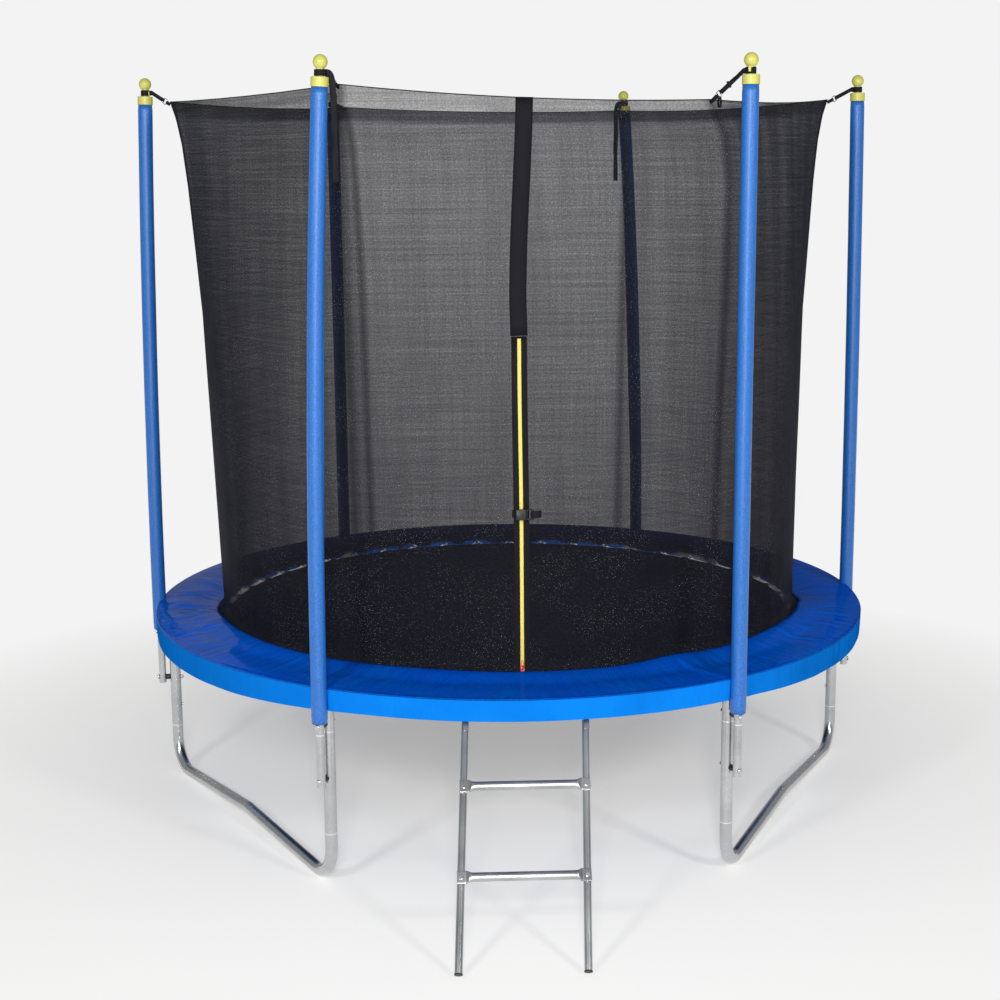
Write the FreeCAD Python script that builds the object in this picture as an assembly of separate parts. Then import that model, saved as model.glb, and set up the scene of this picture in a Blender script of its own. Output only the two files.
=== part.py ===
import FreeCAD, Part
import math
import os

V = FreeCAD.Vector
UP = V(0, 0, 1)

# Driving sizes, in millimetres and degrees. Heights are above the floor, angles run
# counter-clockwise from +X, and the door of the net faces -Y. Every piece is moved down
# at the end, so that the origin is in the middle of the mat's upper face.
SIDES = 6
CORNER_ANGLES = (3.0, 60.8, 120.0, 178.2, 240.0, 300.0)
FIT_GAP = 0.3
SEAT_GAP = 0.4

# Frame ring
RING_RADIUS = 1200.0
RING_HEIGHT = 600.0
FRAME_TUBE_D = 38.0
FRAME_WALL = 1.5
RING_SPIGOT_ANGLE = 2.4
SOCKET_BOTTOM = 490.0
SOCKET_STEP = 0.5

# Legs
LEG_JOINT_HEIGHT = 168.0
SPIGOT_LENGTH = 70.0
LEG_SPIGOT_LENGTH = 100.0
LEG_BEND_RADIUS = 100.0
LEG_MIDDLE_RISE = 30.0
LEG_MIDDLE_BEND = 160.0
LEG_SCREW_RISE = 75.0

# Enclosure poles, one at each corner; the net pulls their tops in and a little sideways
POLE_TUBE_D = 25.4
POLE_WALL = 1.2
POLE_STANDOFF = 13.8
POLE_BOTTOM = 326.0
POLE_JOINT_HEIGHT = 1400.0
POLE_TOP_ABOVE_FOAM = 26.0
POLE_BEND_START = 545.0
POLE_PULLED_IN = (15.0, 43.5, 30.0, 34.5, 28.5, 7.0)
POLE_PULLED_ALONG = (0.0, 50.0, 19.0, 0.0, 46.5, 8.0)
FOAM_D = 48.0
FOAM_BOTTOM = 526.0
FOAM_TOP = 2352.0

# Pole caps
CAP_SLEEVE_D = 50.0
CAP_SLEEVE_HEIGHT = 27.0
CAP_NECK_D = 24.0
CAP_BALL_D = 41.0
CAP_BALL_RISE = 67.0

# Pole fasteners
UPPER_BOLT_HEIGHT = 515.0
LOWER_BOLT_HEIGHT = 346.0
BOLT_D = 8.0
BOLT_HEAD_D = 17.0
BOLT_HEAD_HEIGHT = 4.5
NUT_WIDTH = 13.0
NUT_HEIGHT = 7.0
SPACER_D = 19.0
SCREW_D = 5.0
SCREW_HEAD_D = 10.0
SCREW_HEAD_HEIGHT = 3.0

# Mat, its rings and the springs
MAT_RADIUS = 990.0
MAT_TOP_RISE = 4.0
MAT_THICKNESS = 3.0
HEM_WIDTH = 40.0
HEM_DEPTH = 6.0
SPRINGS = 48
TAB_REACH = 12.0
TAB_WIDTH = 18.0
TAB_DEPTH = 8.0
TAB_OVERLAP = 8.0
RING_WIRE_D = 4.0
RING_BAR_RADIUS = 998.0
RING_TIP_RADIUS = 1030.0
RING_BAR_WIDTH = 30.0
RING_TIP_WIDTH = 12.0
SPRING_D = 14.0
SPRING_WIRE_D = 3.0
SPRING_BODY_START = 1048.0
SPRING_BODY_END = 1160.0
SPRING_SHOULDER = 8.0
SPRING_HOLE_D = 7.0
SPRING_HOOK_DROP = 7.0

# Spring pad
PAD_INNER_RADIUS = 1026.0
PAD_OUTER_RADIUS = 1237.0
PAD_UNDERSIDE = 623.5
PAD_EDGE_THICKNESS = 5.0
PAD_CROWN = 17.0
PAD_RIM_HEIGHT = 631.0
SKIRT_THICKNESS = 3.5
SKIRT_BOTTOM = 566.0
PAD_SEAM_TURN = -4.5
PAD_SEAM_D = 9.0
PAD_SEAM_DEPTH = 2.0
PAD_POLE_GAP = 1.2
TIE_ANGLES = (30.0, 90.0, 150.0, 210.0, 246.0, 294.0, 330.0)
TIE_WIDTH = 14.0
TIE_THICKNESS = 1.8

# Safety net: heights of the cross-sections, with the radius at the corners and mid-span
NET_WALL = 3.0
NET_LEVELS = (
    (607.0, 1003.0, 1003.0),
    (1100.0, 1022.0, 996.9),
    (1650.0, 1042.0, 990.0),
    (2080.0, 1074.0, 977.0),
    (2220.0, 1089.0, 972.0),
    (2410.0, 1122.0, 966.0),
)
NET_SEAM_TURN = (0.0, 0.0, 0.0, 0.0, 0.0, 5.5)
NET_CORNER_TURN = (0.0, 3.5, 1.0, 0.0, 1.5, -4.8)
NET_TURN_POWER = 12
NET_CORNER_PULL = (-4.0, 0.0, -5.0, 12.0, -28.0, -5.0)
NET_CORNER_HEIGHT = (2354.0, 2357.0, 2375.0, 2359.0, 2364.0, 2316.0)
NET_HEM_SAG = (14.0, 12.0, 12.0, 8.0, 16.0, 10.0)

# Door of the net: zip, its cover flap, and the buckle across it
DOOR_ANGLE = 269.0
ZIP_WIDTH = 16.0
ZIP_TAPE_THICKNESS = 1.2
ZIP_BOTTOM = 640.0
ZIP_TOP = 1645.0
CHAIN_WIDTH = 5.0
CHAIN_HEIGHT = 2.5
FLAP_WIDTH = 50.0
FLAP_THICKNESS = 2.5
FLAP_BOTTOM = 1652.0
FLAP_TOP = 2342.0
FLAP_LEAN = 16.0
TRIM_GAP = 0.8
SLIDER_LENGTH = 20.0
SLIDER_WIDTH = 13.0
SLIDER_ROOF = 2.0
SLIDER_GAP = 0.5
SLIDER_BOTTOM = 648.0
PULL_LENGTH = 26.0
PULL_WIDTH = 7.0
PULL_THICKNESS = 1.5
BUCKLE_HEIGHT = 1128.0
BUCKLE_SHIFT = 13.0
BUCKLE_STANDOFF = 10.5
BUCKLE_WIDTH = 32.0
BUCKLE_THICKNESS = 10.0
SOCKET_LENGTH = 30.0
PLUG_LENGTH = 22.0
TONGUE_LENGTH = 20.0
TONGUE_WIDTH = 22.0
TONGUE_THICKNESS = 4.0
FINGER_GAP = 7.0

# Straps from the caps' necks to the corners of the net
STRAP_WIDTH = 18.0
STRAP_THICKNESS = 2.5
STRAP_LOOP_WALL = 4.0
STRAP_HEIGHT = 2390.0
STRAP_END_BLOCK = 10.0
STRAP_LEVEL_RUN = 28.0
STRAP_NET_GAP = 0.4
STRAP_RING_SHARE = 0.72
STRAP_RING_D = 19.0
STRAP_RING_WIRE_D = 2.8
TAIL_POLES = (2, 5)
TAIL_DIRECTIONS = (197.0, 355.0)
TAIL_REACH = 31.0
TAIL_WAVES = (
    ((5.0, -61.0), (2.5, -122.0), (6.0, -183.0), (3.5, -244.0), (4.0, -305.0)),
    ((4.0, -60.0), (7.0, -120.0), (3.0, -180.0), (6.0, -240.0), (5.0, -295.0)),
)

# Ladder, hooked over the ring in front and leaning out to the floor
LADDER_ANGLE = 269.0
LADDER_RACK = 2.6
LADDER_SPACING = 349.0
LADDER_TUBE_D = 22.0
LADDER_FOOT_REACH = 1676.0
LADDER_UNDER_HOOK = 24.0
LADDER_TOP_GAP = 24.0
HOOK_WIDTH = 16.0
HOOK_THICKNESS = 2.5
HOOK_GAP = 1.6
HOOK_LIP = 6.0
HOOK_STRIP_LENGTH = 70.0
RUNG_HEIGHTS = (206.0, 404.0)
RUNG_D = 25.4
RUNG_FLAT_LENGTH = 24.0
RUNG_FLAT_WIDTH = 36.0
RUNG_FLAT_THICKNESS = 5.0
RUNG_TAPER_LENGTH = 18.0
LADDER_FOOT_D = 23.5
LADDER_FOOT_RIM = 4.0
LADDER_FOOT_LENGTH = 22.0
LADDER_BOLT_D = 6.0

TUBE_R = FRAME_TUBE_D / 2
BORE_R = TUBE_R - FRAME_WALL
SPIGOT_R = BORE_R - FIT_GAP
STEP = 360.0 / SIDES
POLE_RADIUS = RING_RADIUS + TUBE_R + POLE_STANDOFF + POLE_TUBE_D / 2
MAT_TOP = RING_HEIGHT + MAT_TOP_RISE
PARTS = "parts"


def polar(radius, angle, height=0.0):
    turn = math.radians(angle)
    return V(radius * math.cos(turn), radius * math.sin(turn), height)


def outward(angle):
    return polar(1.0, angle)


def turned(shape, angle):
    copy = shape.copy()
    copy.rotate(V(0, 0, 0), UP, angle)
    return copy


def box_between(low, high):
    return Part.makeBox(high.x - low.x, high.y - low.y, high.z - low.z, low)


def radial_rod(angle, height, start, end, diameter):
    base = polar(start, angle, height)
    return Part.makeCylinder(diameter / 2, end - start, base, outward(angle))


def pipe(wire, radius):
    start = wire.Edges[0]
    first = start.valueAt(start.FirstParameter)
    along = start.tangentAt(start.FirstParameter)
    circle = Part.Wire([Part.makeCircle(radius, first, along)])
    return wire.makePipeShell([circle], True, True)


def hollow_pipe(wire, outer, inner):
    return pipe(wire, outer).cut(pipe(wire, inner))


def placed(shape, angle, radius, height=0.0, turn=0.0):
    copy = shape.copy()
    copy.rotate(V(0, 0, 0), UP, turn)
    copy.translate(polar(radius, angle, height))
    return copy


def save(name, solids):
    bodies = []
    for item in solids:
        bodies += item.Solids
    for body in bodies:
        body.translate(V(0, 0, -MAT_TOP))
    shape = bodies[0] if len(bodies) == 1 else Part.makeCompound(bodies)
    valid = all(body.isValid() and body.Volume > 0 for body in bodies)
    volume = sum(body.Volume for body in bodies) / 1000.0
    print(name, "solids", len(bodies), "valid", valid, "cm3", round(volume, 2))
    shape.exportStep(PARTS + "/" + name + ".step")


# Frame ring and legs
def spring_angles():
    pitch = 360.0 / SPRINGS
    return [pitch * (index + 0.5) for index in range(SPRINGS)]


def bolt_clearance(angle, height):
    start = RING_RADIUS - 2 * FRAME_TUBE_D
    end = POLE_RADIUS + POLE_TUBE_D
    return radial_rod(angle, height, start, end, BOLT_D + 2 * SEAT_GAP)


def ring_arc(radius, start, sweep):
    arc = Part.makeTorus(RING_RADIUS, radius, V(0, 0, RING_HEIGHT), UP, 0, 360, sweep)
    return turned(arc, start)


def top_rail(corner):
    """One sixth of the ring; its leg socket stands at the given angle from the middle."""
    joint_gap = math.degrees(SEAT_GAP / RING_RADIUS)
    sweep = STEP - joint_gap
    start = -STEP / 2
    outer = ring_arc(TUBE_R, start, sweep)
    socket_height = RING_HEIGHT - SOCKET_BOTTOM
    foot = polar(RING_RADIUS, corner, SOCKET_BOTTOM)
    outer = outer.fuse(Part.makeCylinder(TUBE_R - SOCKET_STEP, socket_height, foot))
    rail = outer.cut(ring_arc(BORE_R, start, sweep))
    bore_top = RING_HEIGHT - TUBE_R - FRAME_WALL
    rail = rail.cut(Part.makeCylinder(BORE_R, bore_top - SOCKET_BOTTOM, foot))
    plug_start = start + sweep - RING_SPIGOT_ANGLE
    plug = ring_arc(SPIGOT_R, plug_start, 2 * RING_SPIGOT_ANGLE)
    plug = plug.cut(ring_arc(SPIGOT_R - FRAME_WALL, plug_start, 2 * RING_SPIGOT_ANGLE))
    sleeve = ring_arc(BORE_R + FRAME_WALL / 2, plug_start, RING_SPIGOT_ANGLE / 2)
    sleeve = sleeve.cut(ring_arc(SPIGOT_R - FRAME_WALL, plug_start, RING_SPIGOT_ANGLE / 2))
    rail = rail.fuse([plug, sleeve])
    for spring in spring_angles():
        if abs((spring + 180) % 360 - 180) < STEP / 2:
            start_r = RING_RADIUS - FRAME_TUBE_D
            hole = radial_rod(spring, RING_HEIGHT, start_r, RING_RADIUS, SPRING_HOLE_D)
            rail = rail.cut(hole)
    return rail.cut(bolt_clearance(corner, UPPER_BOLT_HEIGHT))


def screw_rod(angle, height, start, end, diameter):
    base = polar(RING_RADIUS, angle, height) - outward(angle) * start
    return Part.makeCylinder(diameter / 2, end - start, base, outward(angle) * -1)


def leg_screw_height():
    return LEG_JOINT_HEIGHT + LEG_SCREW_RISE


def leg_upright():
    bottom = LEG_JOINT_HEIGHT + SEAT_GAP
    shoulder = SOCKET_BOTTOM - SEAT_GAP
    foot = V(RING_RADIUS, 0, bottom)
    body = Part.makeCylinder(TUBE_R, shoulder - bottom, foot)
    body = body.cut(Part.makeCylinder(BORE_R, shoulder - bottom - FRAME_WALL, foot))
    neck_foot = V(RING_RADIUS, 0, shoulder - FRAME_WALL)
    body = body.fuse(Part.makeCylinder(SPIGOT_R, SPIGOT_LENGTH + FRAME_WALL, neck_foot))
    hollow = Part.makeCylinder(SPIGOT_R - FRAME_WALL, SPIGOT_LENGTH + 2 * FRAME_WALL, neck_foot)
    body = body.cut(hollow)
    body = body.cut(bolt_clearance(0.0, UPPER_BOLT_HEIGHT))
    body = body.cut(bolt_clearance(0.0, LOWER_BOLT_HEIGHT))
    hole = screw_rod(0.0, leg_screw_height(), 0, TUBE_R + 1, SCREW_D + SEAT_GAP)
    return body.cut(hole)


def leg_corners(order):
    """Angles of the two corners that a leg stands under."""
    first = CORNER_ANGLES[2 * order + 1]
    last = CORNER_ANGLES[(2 * order + 2) % SIDES]
    return first, last


def leg_half_path(span):
    """Corner arc and rising run of half a leg, as (along, height) points."""
    middle = span / 2
    peak = TUBE_R + LEG_MIDDLE_RISE
    centre_height = TUBE_R + LEG_BEND_RADIUS
    run = middle - LEG_BEND_RADIUS
    reach = math.hypot(run, centre_height - peak)
    slope = math.asin(LEG_BEND_RADIUS / reach) - math.atan2(centre_height - peak, run)
    end = (LEG_BEND_RADIUS * (1 + math.sin(slope)), centre_height - LEG_BEND_RADIUS * math.cos(slope))
    half = (math.pi / 2 + slope) / 2
    mid = (LEG_BEND_RADIUS * (1 - math.cos(half)), centre_height - LEG_BEND_RADIUS * math.sin(half))
    cut_back = LEG_MIDDLE_BEND * math.tan(slope)
    top = (middle - cut_back * math.cos(slope), peak - cut_back * math.sin(slope))
    crown = peak - LEG_MIDDLE_BEND * (1 / math.cos(slope) - 1)
    return (0.0, centre_height), mid, end, top, (middle, crown)


def leg_base(order):
    angles = leg_corners(order)
    start, finish = [polar(RING_RADIUS, angle) for angle in angles]
    span = (finish - start).Length
    chord = (finish - start).normalize()
    corner, mid, end, top, crown = leg_half_path(span)

    def at(point, mirrored=False):
        along = span - point[0] if mirrored else point[0]
        return start + chord * along + UP * point[1]

    head = (0.0, LEG_JOINT_HEIGHT)
    edges = [
        Part.makeLine(at(head), at(corner)),
        Part.Arc(at(corner), at(mid), at(end)).toShape(),
        Part.makeLine(at(end), at(top)),
        Part.Arc(at(top), at(crown), at(top, True)).toShape(),
        Part.makeLine(at(top, True), at(end, True)),
        Part.Arc(at(end, True), at(mid, True), at(corner, True)).toShape(),
        Part.makeLine(at(corner, True), at(head, True)),
    ]
    base = hollow_pipe(Part.Wire(edges), TUBE_R, BORE_R)
    for angle in angles:
        seat = polar(RING_RADIUS, angle, LEG_JOINT_HEIGHT - LEG_JOINT_HEIGHT / 4)
        length = LEG_JOINT_HEIGHT / 4 + LEG_SPIGOT_LENGTH
        spigot = Part.makeCylinder(SPIGOT_R, length, seat)
        collar = Part.makeCylinder(BORE_R + FRAME_WALL / 2, FRAME_WALL * 2, seat)
        spigot = spigot.fuse(collar)
        spigot = spigot.cut(Part.makeCylinder(SPIGOT_R - FRAME_WALL, length, seat))
        base = base.fuse(spigot)
        hole = screw_rod(angle, leg_screw_height(), 0, TUBE_R + 1, SCREW_D + SEAT_GAP)
        base = base.cut(hole)
    return base


# Enclosure poles
def pole_lean(index):
    """How far a pole's top stands from upright, and the direction it leans in."""
    inward = POLE_PULLED_IN[index]
    along = POLE_PULLED_ALONG[index]
    return math.hypot(inward, along), math.degrees(math.atan2(along, -inward))


def pole_bend_radius(lean):
    rise = FOAM_TOP + CAP_BALL_RISE - POLE_BEND_START
    return (rise * rise + lean * lean) / (2 * lean)


def pole_point(height, lean):
    """Point on a pole's bent line, and its tilt, with the lean towards +X."""
    if height <= POLE_BEND_START:
        return V(0, 0, height), 0.0
    radius = pole_bend_radius(lean)
    tilt = (height - POLE_BEND_START) / radius
    place = V(radius * (1 - math.cos(tilt)), 0, POLE_BEND_START + radius * math.sin(tilt))
    return place, math.degrees(tilt)


def pole_line(bottom, top, lean):
    edges = []
    if bottom < POLE_BEND_START:
        bend = min(top, POLE_BEND_START)
        edges.append(Part.makeLine(V(0, 0, bottom), V(0, 0, bend)))
        bottom = bend
    if top > bottom:
        middle = (bottom + top) / 2
        points = [pole_point(height, lean)[0] for height in (bottom, middle, top)]
        edges.append(Part.Arc(*points).toShape())
    return Part.Wire(edges)


def on_pole(shape, index):
    direction = pole_lean(index)[1]
    angle = CORNER_ANGLES[index]
    return placed(shape, angle, POLE_RADIUS, 0.0, angle + direction)


def pole(index):
    lean = pole_lean(index)[0]
    outer = POLE_TUBE_D / 2
    inner = outer - POLE_WALL
    top = FOAM_TOP + POLE_TOP_ABOVE_FOAM
    lower = hollow_pipe(pole_line(POLE_BOTTOM, POLE_JOINT_HEIGHT, lean), outer, inner)
    joint = POLE_JOINT_HEIGHT + SEAT_GAP
    upper = hollow_pipe(pole_line(joint, top, lean), outer, inner)
    spigot_r = inner - FIT_GAP
    spigot_line = pole_line(POLE_JOINT_HEIGHT - SPIGOT_LENGTH, joint + POLE_WALL, lean)
    spigot = hollow_pipe(spigot_line, spigot_r, spigot_r - POLE_WALL)
    collar_line = pole_line(joint, joint + POLE_WALL, lean)
    collar = hollow_pipe(collar_line, inner + POLE_WALL / 2, spigot_r - POLE_WALL)
    upper = upper.fuse([spigot, collar])
    lower = on_pole(lower, index)
    for height in (UPPER_BOLT_HEIGHT, LOWER_BOLT_HEIGHT):
        lower = lower.cut(bolt_clearance(CORNER_ANGLES[index], height))
    return [lower, on_pole(upper, index)]


def foam_sleeve(index):
    lean = pole_lean(index)[0]
    line = pole_line(FOAM_BOTTOM, FOAM_TOP, lean)
    sleeve = hollow_pipe(line, FOAM_D / 2, POLE_TUBE_D / 2 + SEAT_GAP)
    return on_pole(sleeve, index)


def at_pole_top(shape, index):
    """Set a shape, drawn with its origin at the foam's top, on a leaning pole."""
    place, tilt = pole_point(FOAM_TOP, pole_lean(index)[0])
    copy = shape.copy()
    copy.rotate(V(0, 0, 0), V(0, 1, 0), tilt)
    copy.translate(place)
    return on_pole(copy, index)


def pole_cap(index):
    rise = POLE_TOP_ABOVE_FOAM + SEAT_GAP
    cap = Part.makeCylinder(CAP_SLEEVE_D / 2, CAP_SLEEVE_HEIGHT)
    rims = [edge for edge in cap.Edges if isinstance(edge.Curve, Part.Circle)]
    cap = cap.makeFillet(2.5, [max(rims, key=lambda edge: edge.CenterOfMass.z)])
    neck = Part.makeCylinder(CAP_NECK_D / 2, CAP_BALL_RISE)
    ball = Part.makeSphere(CAP_BALL_D / 2, V(0, 0, CAP_BALL_RISE))
    cap = cap.fuse([neck, ball])
    cap = cap.cut(Part.makeCylinder(POLE_TUBE_D / 2 + FIT_GAP, rise))
    return at_pole_top(cap, index)


def pole_spacer(angle, height):
    start = RING_RADIUS
    rod = radial_rod(angle, height, start, POLE_RADIUS, SPACER_D)
    tall = 2 * SPACER_D
    upright = Part.makeCylinder(TUBE_R + FIT_GAP, tall, polar(RING_RADIUS, angle, height - SPACER_D))
    tube = Part.makeCylinder(
        POLE_TUBE_D / 2 + FIT_GAP, tall, polar(POLE_RADIUS, angle, height - SPACER_D)
    )
    rod = rod.cut(upright).cut(tube)
    return rod.cut(bolt_clearance(angle, height))


def pole_bolt(angle, height):
    head_seat = POLE_RADIUS + POLE_TUBE_D / 2 + FIT_GAP
    tail = RING_RADIUS - TUBE_R - NUT_HEIGHT - 4.0
    shank = radial_rod(angle, height, tail, head_seat, BOLT_D)
    head = radial_rod(angle, height, head_seat, head_seat + BOLT_HEAD_HEIGHT, BOLT_HEAD_D)
    rims = [edge for edge in head.Edges if isinstance(edge.Curve, Part.Circle)]
    outer = max(rims, key=lambda edge: V(edge.CenterOfMass.x, edge.CenterOfMass.y, 0).Length)
    head = head.makeFillet(BOLT_HEAD_HEIGHT * 0.7, [outer])
    return shank.fuse(head)


def pole_nut(angle, height):
    seat = RING_RADIUS - TUBE_R - FIT_GAP
    corners = []
    for index in range(7):
        turn = math.radians(60 * index)
        reach = NUT_WIDTH / math.sqrt(3)
        corners.append(V(0, reach * math.cos(turn), reach * math.sin(turn)))
    nut = Part.Face(Part.makePolygon(corners)).extrude(V(NUT_HEIGHT, 0, 0))
    nut = nut.cut(Part.makeCylinder(BOLT_D / 2 + 0.15, NUT_HEIGHT, V(0, 0, 0), V(1, 0, 0)))
    nut = turned(nut, angle)
    nut.translate(polar(seat - NUT_HEIGHT, angle, height))
    return nut


def leg_screw(angle):
    height = leg_screw_height()
    shank = screw_rod(angle, height, BORE_R - 2 * FRAME_WALL, TUBE_R + FIT_GAP, SCREW_D)
    seat = TUBE_R + FIT_GAP
    head = screw_rod(angle, height, seat, seat + SCREW_HEAD_HEIGHT, SCREW_HEAD_D)
    return shank.fuse(head)


def pole_angles_and_heights():
    places = []
    for angle in CORNER_ANGLES:
        for height in (UPPER_BOLT_HEIGHT, LOWER_BOLT_HEIGHT):
            places.append((angle, height))
    return places


# Mat, rings and springs
def wire_rod(start, end, diameter):
    along = end - start
    return Part.makeCylinder(diameter / 2, along.Length, start, along)


def bent_wire(points, diameter, closed=False):
    """Straight rods joined by balls, for hooks and small rings."""
    ends = points[1:] + points[:1] if closed else points[1:]
    pieces = [wire_rod(a, b, diameter) for a, b in zip(points, ends)]
    pieces += [Part.makeSphere(diameter / 2, point) for point in points]
    return pieces[0].fuse(pieces[1:])


def mat():
    top = MAT_TOP
    disc = Part.makeCylinder(MAT_RADIUS, MAT_THICKNESS, V(0, 0, top - MAT_THICKNESS))
    hem = Part.makeCylinder(MAT_RADIUS, HEM_DEPTH, V(0, 0, top - HEM_DEPTH))
    well = Part.makeCylinder(MAT_RADIUS - HEM_WIDTH, HEM_DEPTH, V(0, 0, top - HEM_DEPTH))
    hem = hem.cut(well)
    tab_low = V(MAT_RADIUS - TAB_OVERLAP, -TAB_WIDTH / 2, top - TAB_DEPTH)
    tab_high = V(MAT_RADIUS + TAB_REACH, TAB_WIDTH / 2, top)
    tab = box_between(tab_low, tab_high)
    bore_start = V(RING_BAR_RADIUS, -TAB_WIDTH, RING_HEIGHT)
    bore_r = RING_WIRE_D / 2 + FIT_GAP
    tab = tab.cut(Part.makeCylinder(bore_r, 2 * TAB_WIDTH, bore_start, V(0, 1, 0)))
    tabs = [turned(tab, angle) for angle in spring_angles()]
    return disc.fuse([hem] + tabs)


def mat_ring():
    bar = RING_BAR_WIDTH / 2
    tip = RING_TIP_WIDTH / 2
    points = [
        V(RING_BAR_RADIUS, -bar, RING_HEIGHT),
        V(RING_BAR_RADIUS, bar, RING_HEIGHT),
        V(RING_TIP_RADIUS, tip, RING_HEIGHT),
        V(RING_TIP_RADIUS, -tip, RING_HEIGHT),
    ]
    return bent_wire(points, RING_WIRE_D, closed=True)


def spring():
    wire = SPRING_WIRE_D
    over = RING_HEIGHT + (RING_WIRE_D + wire) / 2 + FIT_GAP
    inside = RING_TIP_RADIUS - (RING_WIRE_D + wire) / 2 - FIT_GAP
    low = RING_HEIGHT - SPRING_HOOK_DROP
    body = Part.makeCylinder(
        SPRING_D / 2,
        SPRING_BODY_END - SPRING_BODY_START,
        V(SPRING_BODY_START, 0, RING_HEIGHT),
        V(1, 0, 0),
    )
    nose = Part.makeCone(
        wire / 2,
        SPRING_D / 2,
        SPRING_SHOULDER,
        V(SPRING_BODY_START - SPRING_SHOULDER, 0, RING_HEIGHT),
        V(1, 0, 0),
    )
    tail = Part.makeCone(
        SPRING_D / 2, wire / 2, SPRING_SHOULDER, V(SPRING_BODY_END, 0, RING_HEIGHT), V(1, 0, 0)
    )
    ring_hook = bent_wire(
        [
            V(SPRING_BODY_START - SPRING_SHOULDER / 2, 0, RING_HEIGHT),
            V(RING_TIP_RADIUS + wire, 0, over),
            V(inside, 0, over),
            V(inside, 0, low),
        ],
        wire,
    )
    hole = RING_RADIUS - TUBE_R + SPRING_HOLE_D
    rail_hook = bent_wire(
        [V(SPRING_BODY_END, 0, RING_HEIGHT), V(hole, 0, RING_HEIGHT), V(hole, 0, low)], wire
    )
    return body.fuse([nose, tail, ring_hook, rail_hook])


# Spring pad and its ties
def pad():
    inner = PAD_INNER_RADIUS
    outer = PAD_OUTER_RADIUS
    lining = outer - SKIRT_THICKNESS
    middle = (inner + outer) / 2
    edge_top = PAD_UNDERSIDE + PAD_EDGE_THICKNESS
    crown = PAD_UNDERSIDE + PAD_CROWN
    roll = SKIRT_THICKNESS

    def at(radius, height):
        return V(radius, 0, height)

    edges = [
        Part.makeLine(at(inner, PAD_UNDERSIDE), at(lining, PAD_UNDERSIDE)),
        Part.makeLine(at(lining, PAD_UNDERSIDE), at(lining, SKIRT_BOTTOM)),
        Part.makeLine(at(lining, SKIRT_BOTTOM), at(outer, SKIRT_BOTTOM)),
        Part.makeLine(at(outer, SKIRT_BOTTOM), at(outer, PAD_RIM_HEIGHT)),
        Part.makeLine(at(outer, PAD_RIM_HEIGHT), at(outer - roll, PAD_RIM_HEIGHT + roll)),
        Part.Arc(
            at(outer - roll, PAD_RIM_HEIGHT + roll), at(middle, crown), at(inner, edge_top)
        ).toShape(),
        Part.makeLine(at(inner, edge_top), at(inner, PAD_UNDERSIDE)),
    ]
    ring = Part.Face(Part.Wire(edges)).revolve(V(0, 0, 0), UP, 360)
    notch_r = FOAM_D / 2 + PAD_POLE_GAP
    for angle in CORNER_ANGLES:
        foot = polar(POLE_RADIUS, angle, SKIRT_BOTTOM - PAD_CROWN)
        ring = ring.cut(Part.makeCylinder(notch_r, 2 * FRAME_TUBE_D + PAD_CROWN, foot))
        seam_height = crown + PAD_SEAM_D / 2 - PAD_SEAM_DEPTH
        seam_angle = angle + PAD_SEAM_TURN
        ring = ring.cut(radial_rod(seam_angle, seam_height, inner - 10, outer + 10, PAD_SEAM_D))
    return ring


def pad_tie(angle):
    inner = TUBE_R + FIT_GAP
    outer = inner + TIE_THICKNESS
    base = polar(RING_RADIUS, angle, RING_HEIGHT)
    along = polar(1.0, angle + 90)
    base = base - along * (TIE_WIDTH / 2)
    loop = Part.makeCylinder(outer, TIE_WIDTH, base, along)
    return loop.cut(Part.makeCylinder(inner, TIE_WIDTH, base, along))


# Safety net
def net_points(level, inset):
    """Corners of the net at one height, and the points midway between them."""
    height, corner_radius, middle_radius = level
    rise = (height - NET_LEVELS[0][0]) / (NET_LEVELS[-1][0] - NET_LEVELS[0][0])
    corners = []
    middles = []
    for index in range(SIDES):
        seam = NET_SEAM_TURN[index]
        turn = seam + (NET_CORNER_TURN[index] - seam) * rise ** NET_TURN_POWER
        radius = corner_radius + NET_CORNER_PULL[index] * rise ** 3 - inset
        angle = index * STEP + turn
        corners.append(polar(radius, angle, height))
        middles.append(polar(middle_radius - inset, (index + 0.5) * STEP, height))
    return corners, middles


def span_radius(height):
    """Radius of the net's outer face at mid-span."""
    for below, above in zip(NET_LEVELS, NET_LEVELS[1:]):
        if below[0] <= height <= above[0]:
            share = (height - below[0]) / (above[0] - below[0])
            return below[2] + (above[2] - below[2]) * share
    return NET_LEVELS[-1][2]


def hem_points(inset):
    """Corners and mid-span points of the net's upper hem, each at its own height."""
    below, above = NET_LEVELS[-2], NET_LEVELS[-1]
    low = net_points(below, inset)[0]
    high = net_points(above, inset)[0]
    corners = []
    for index in range(SIDES):
        share = (NET_CORNER_HEIGHT[index] - below[0]) / (above[0] - below[0])
        corners.append(low[index] + (high[index] - low[index]) * share)
    middles = []
    for index in range(SIDES):
        following = NET_CORNER_HEIGHT[(index + 1) % SIDES]
        height = (NET_CORNER_HEIGHT[index] + following) / 2 - NET_HEM_SAG[index]
        middles.append(polar(span_radius(height) - inset, (index + 0.5) * STEP, height))
    return corners, middles


def side_arcs(points):
    corners, middles = points
    arcs = []
    for index in range(SIDES):
        following = corners[(index + 1) % SIDES]
        arcs.append(Part.Arc(corners[index], middles[index], following).toShape())
    return arcs


def net_solid_inside(inset):
    """Everything inside the net's outer face, set in by a distance."""
    sections = [Part.Wire(side_arcs(net_points(level, inset))) for level in NET_LEVELS]
    return Part.makeLoft(sections, True, True)


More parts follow.
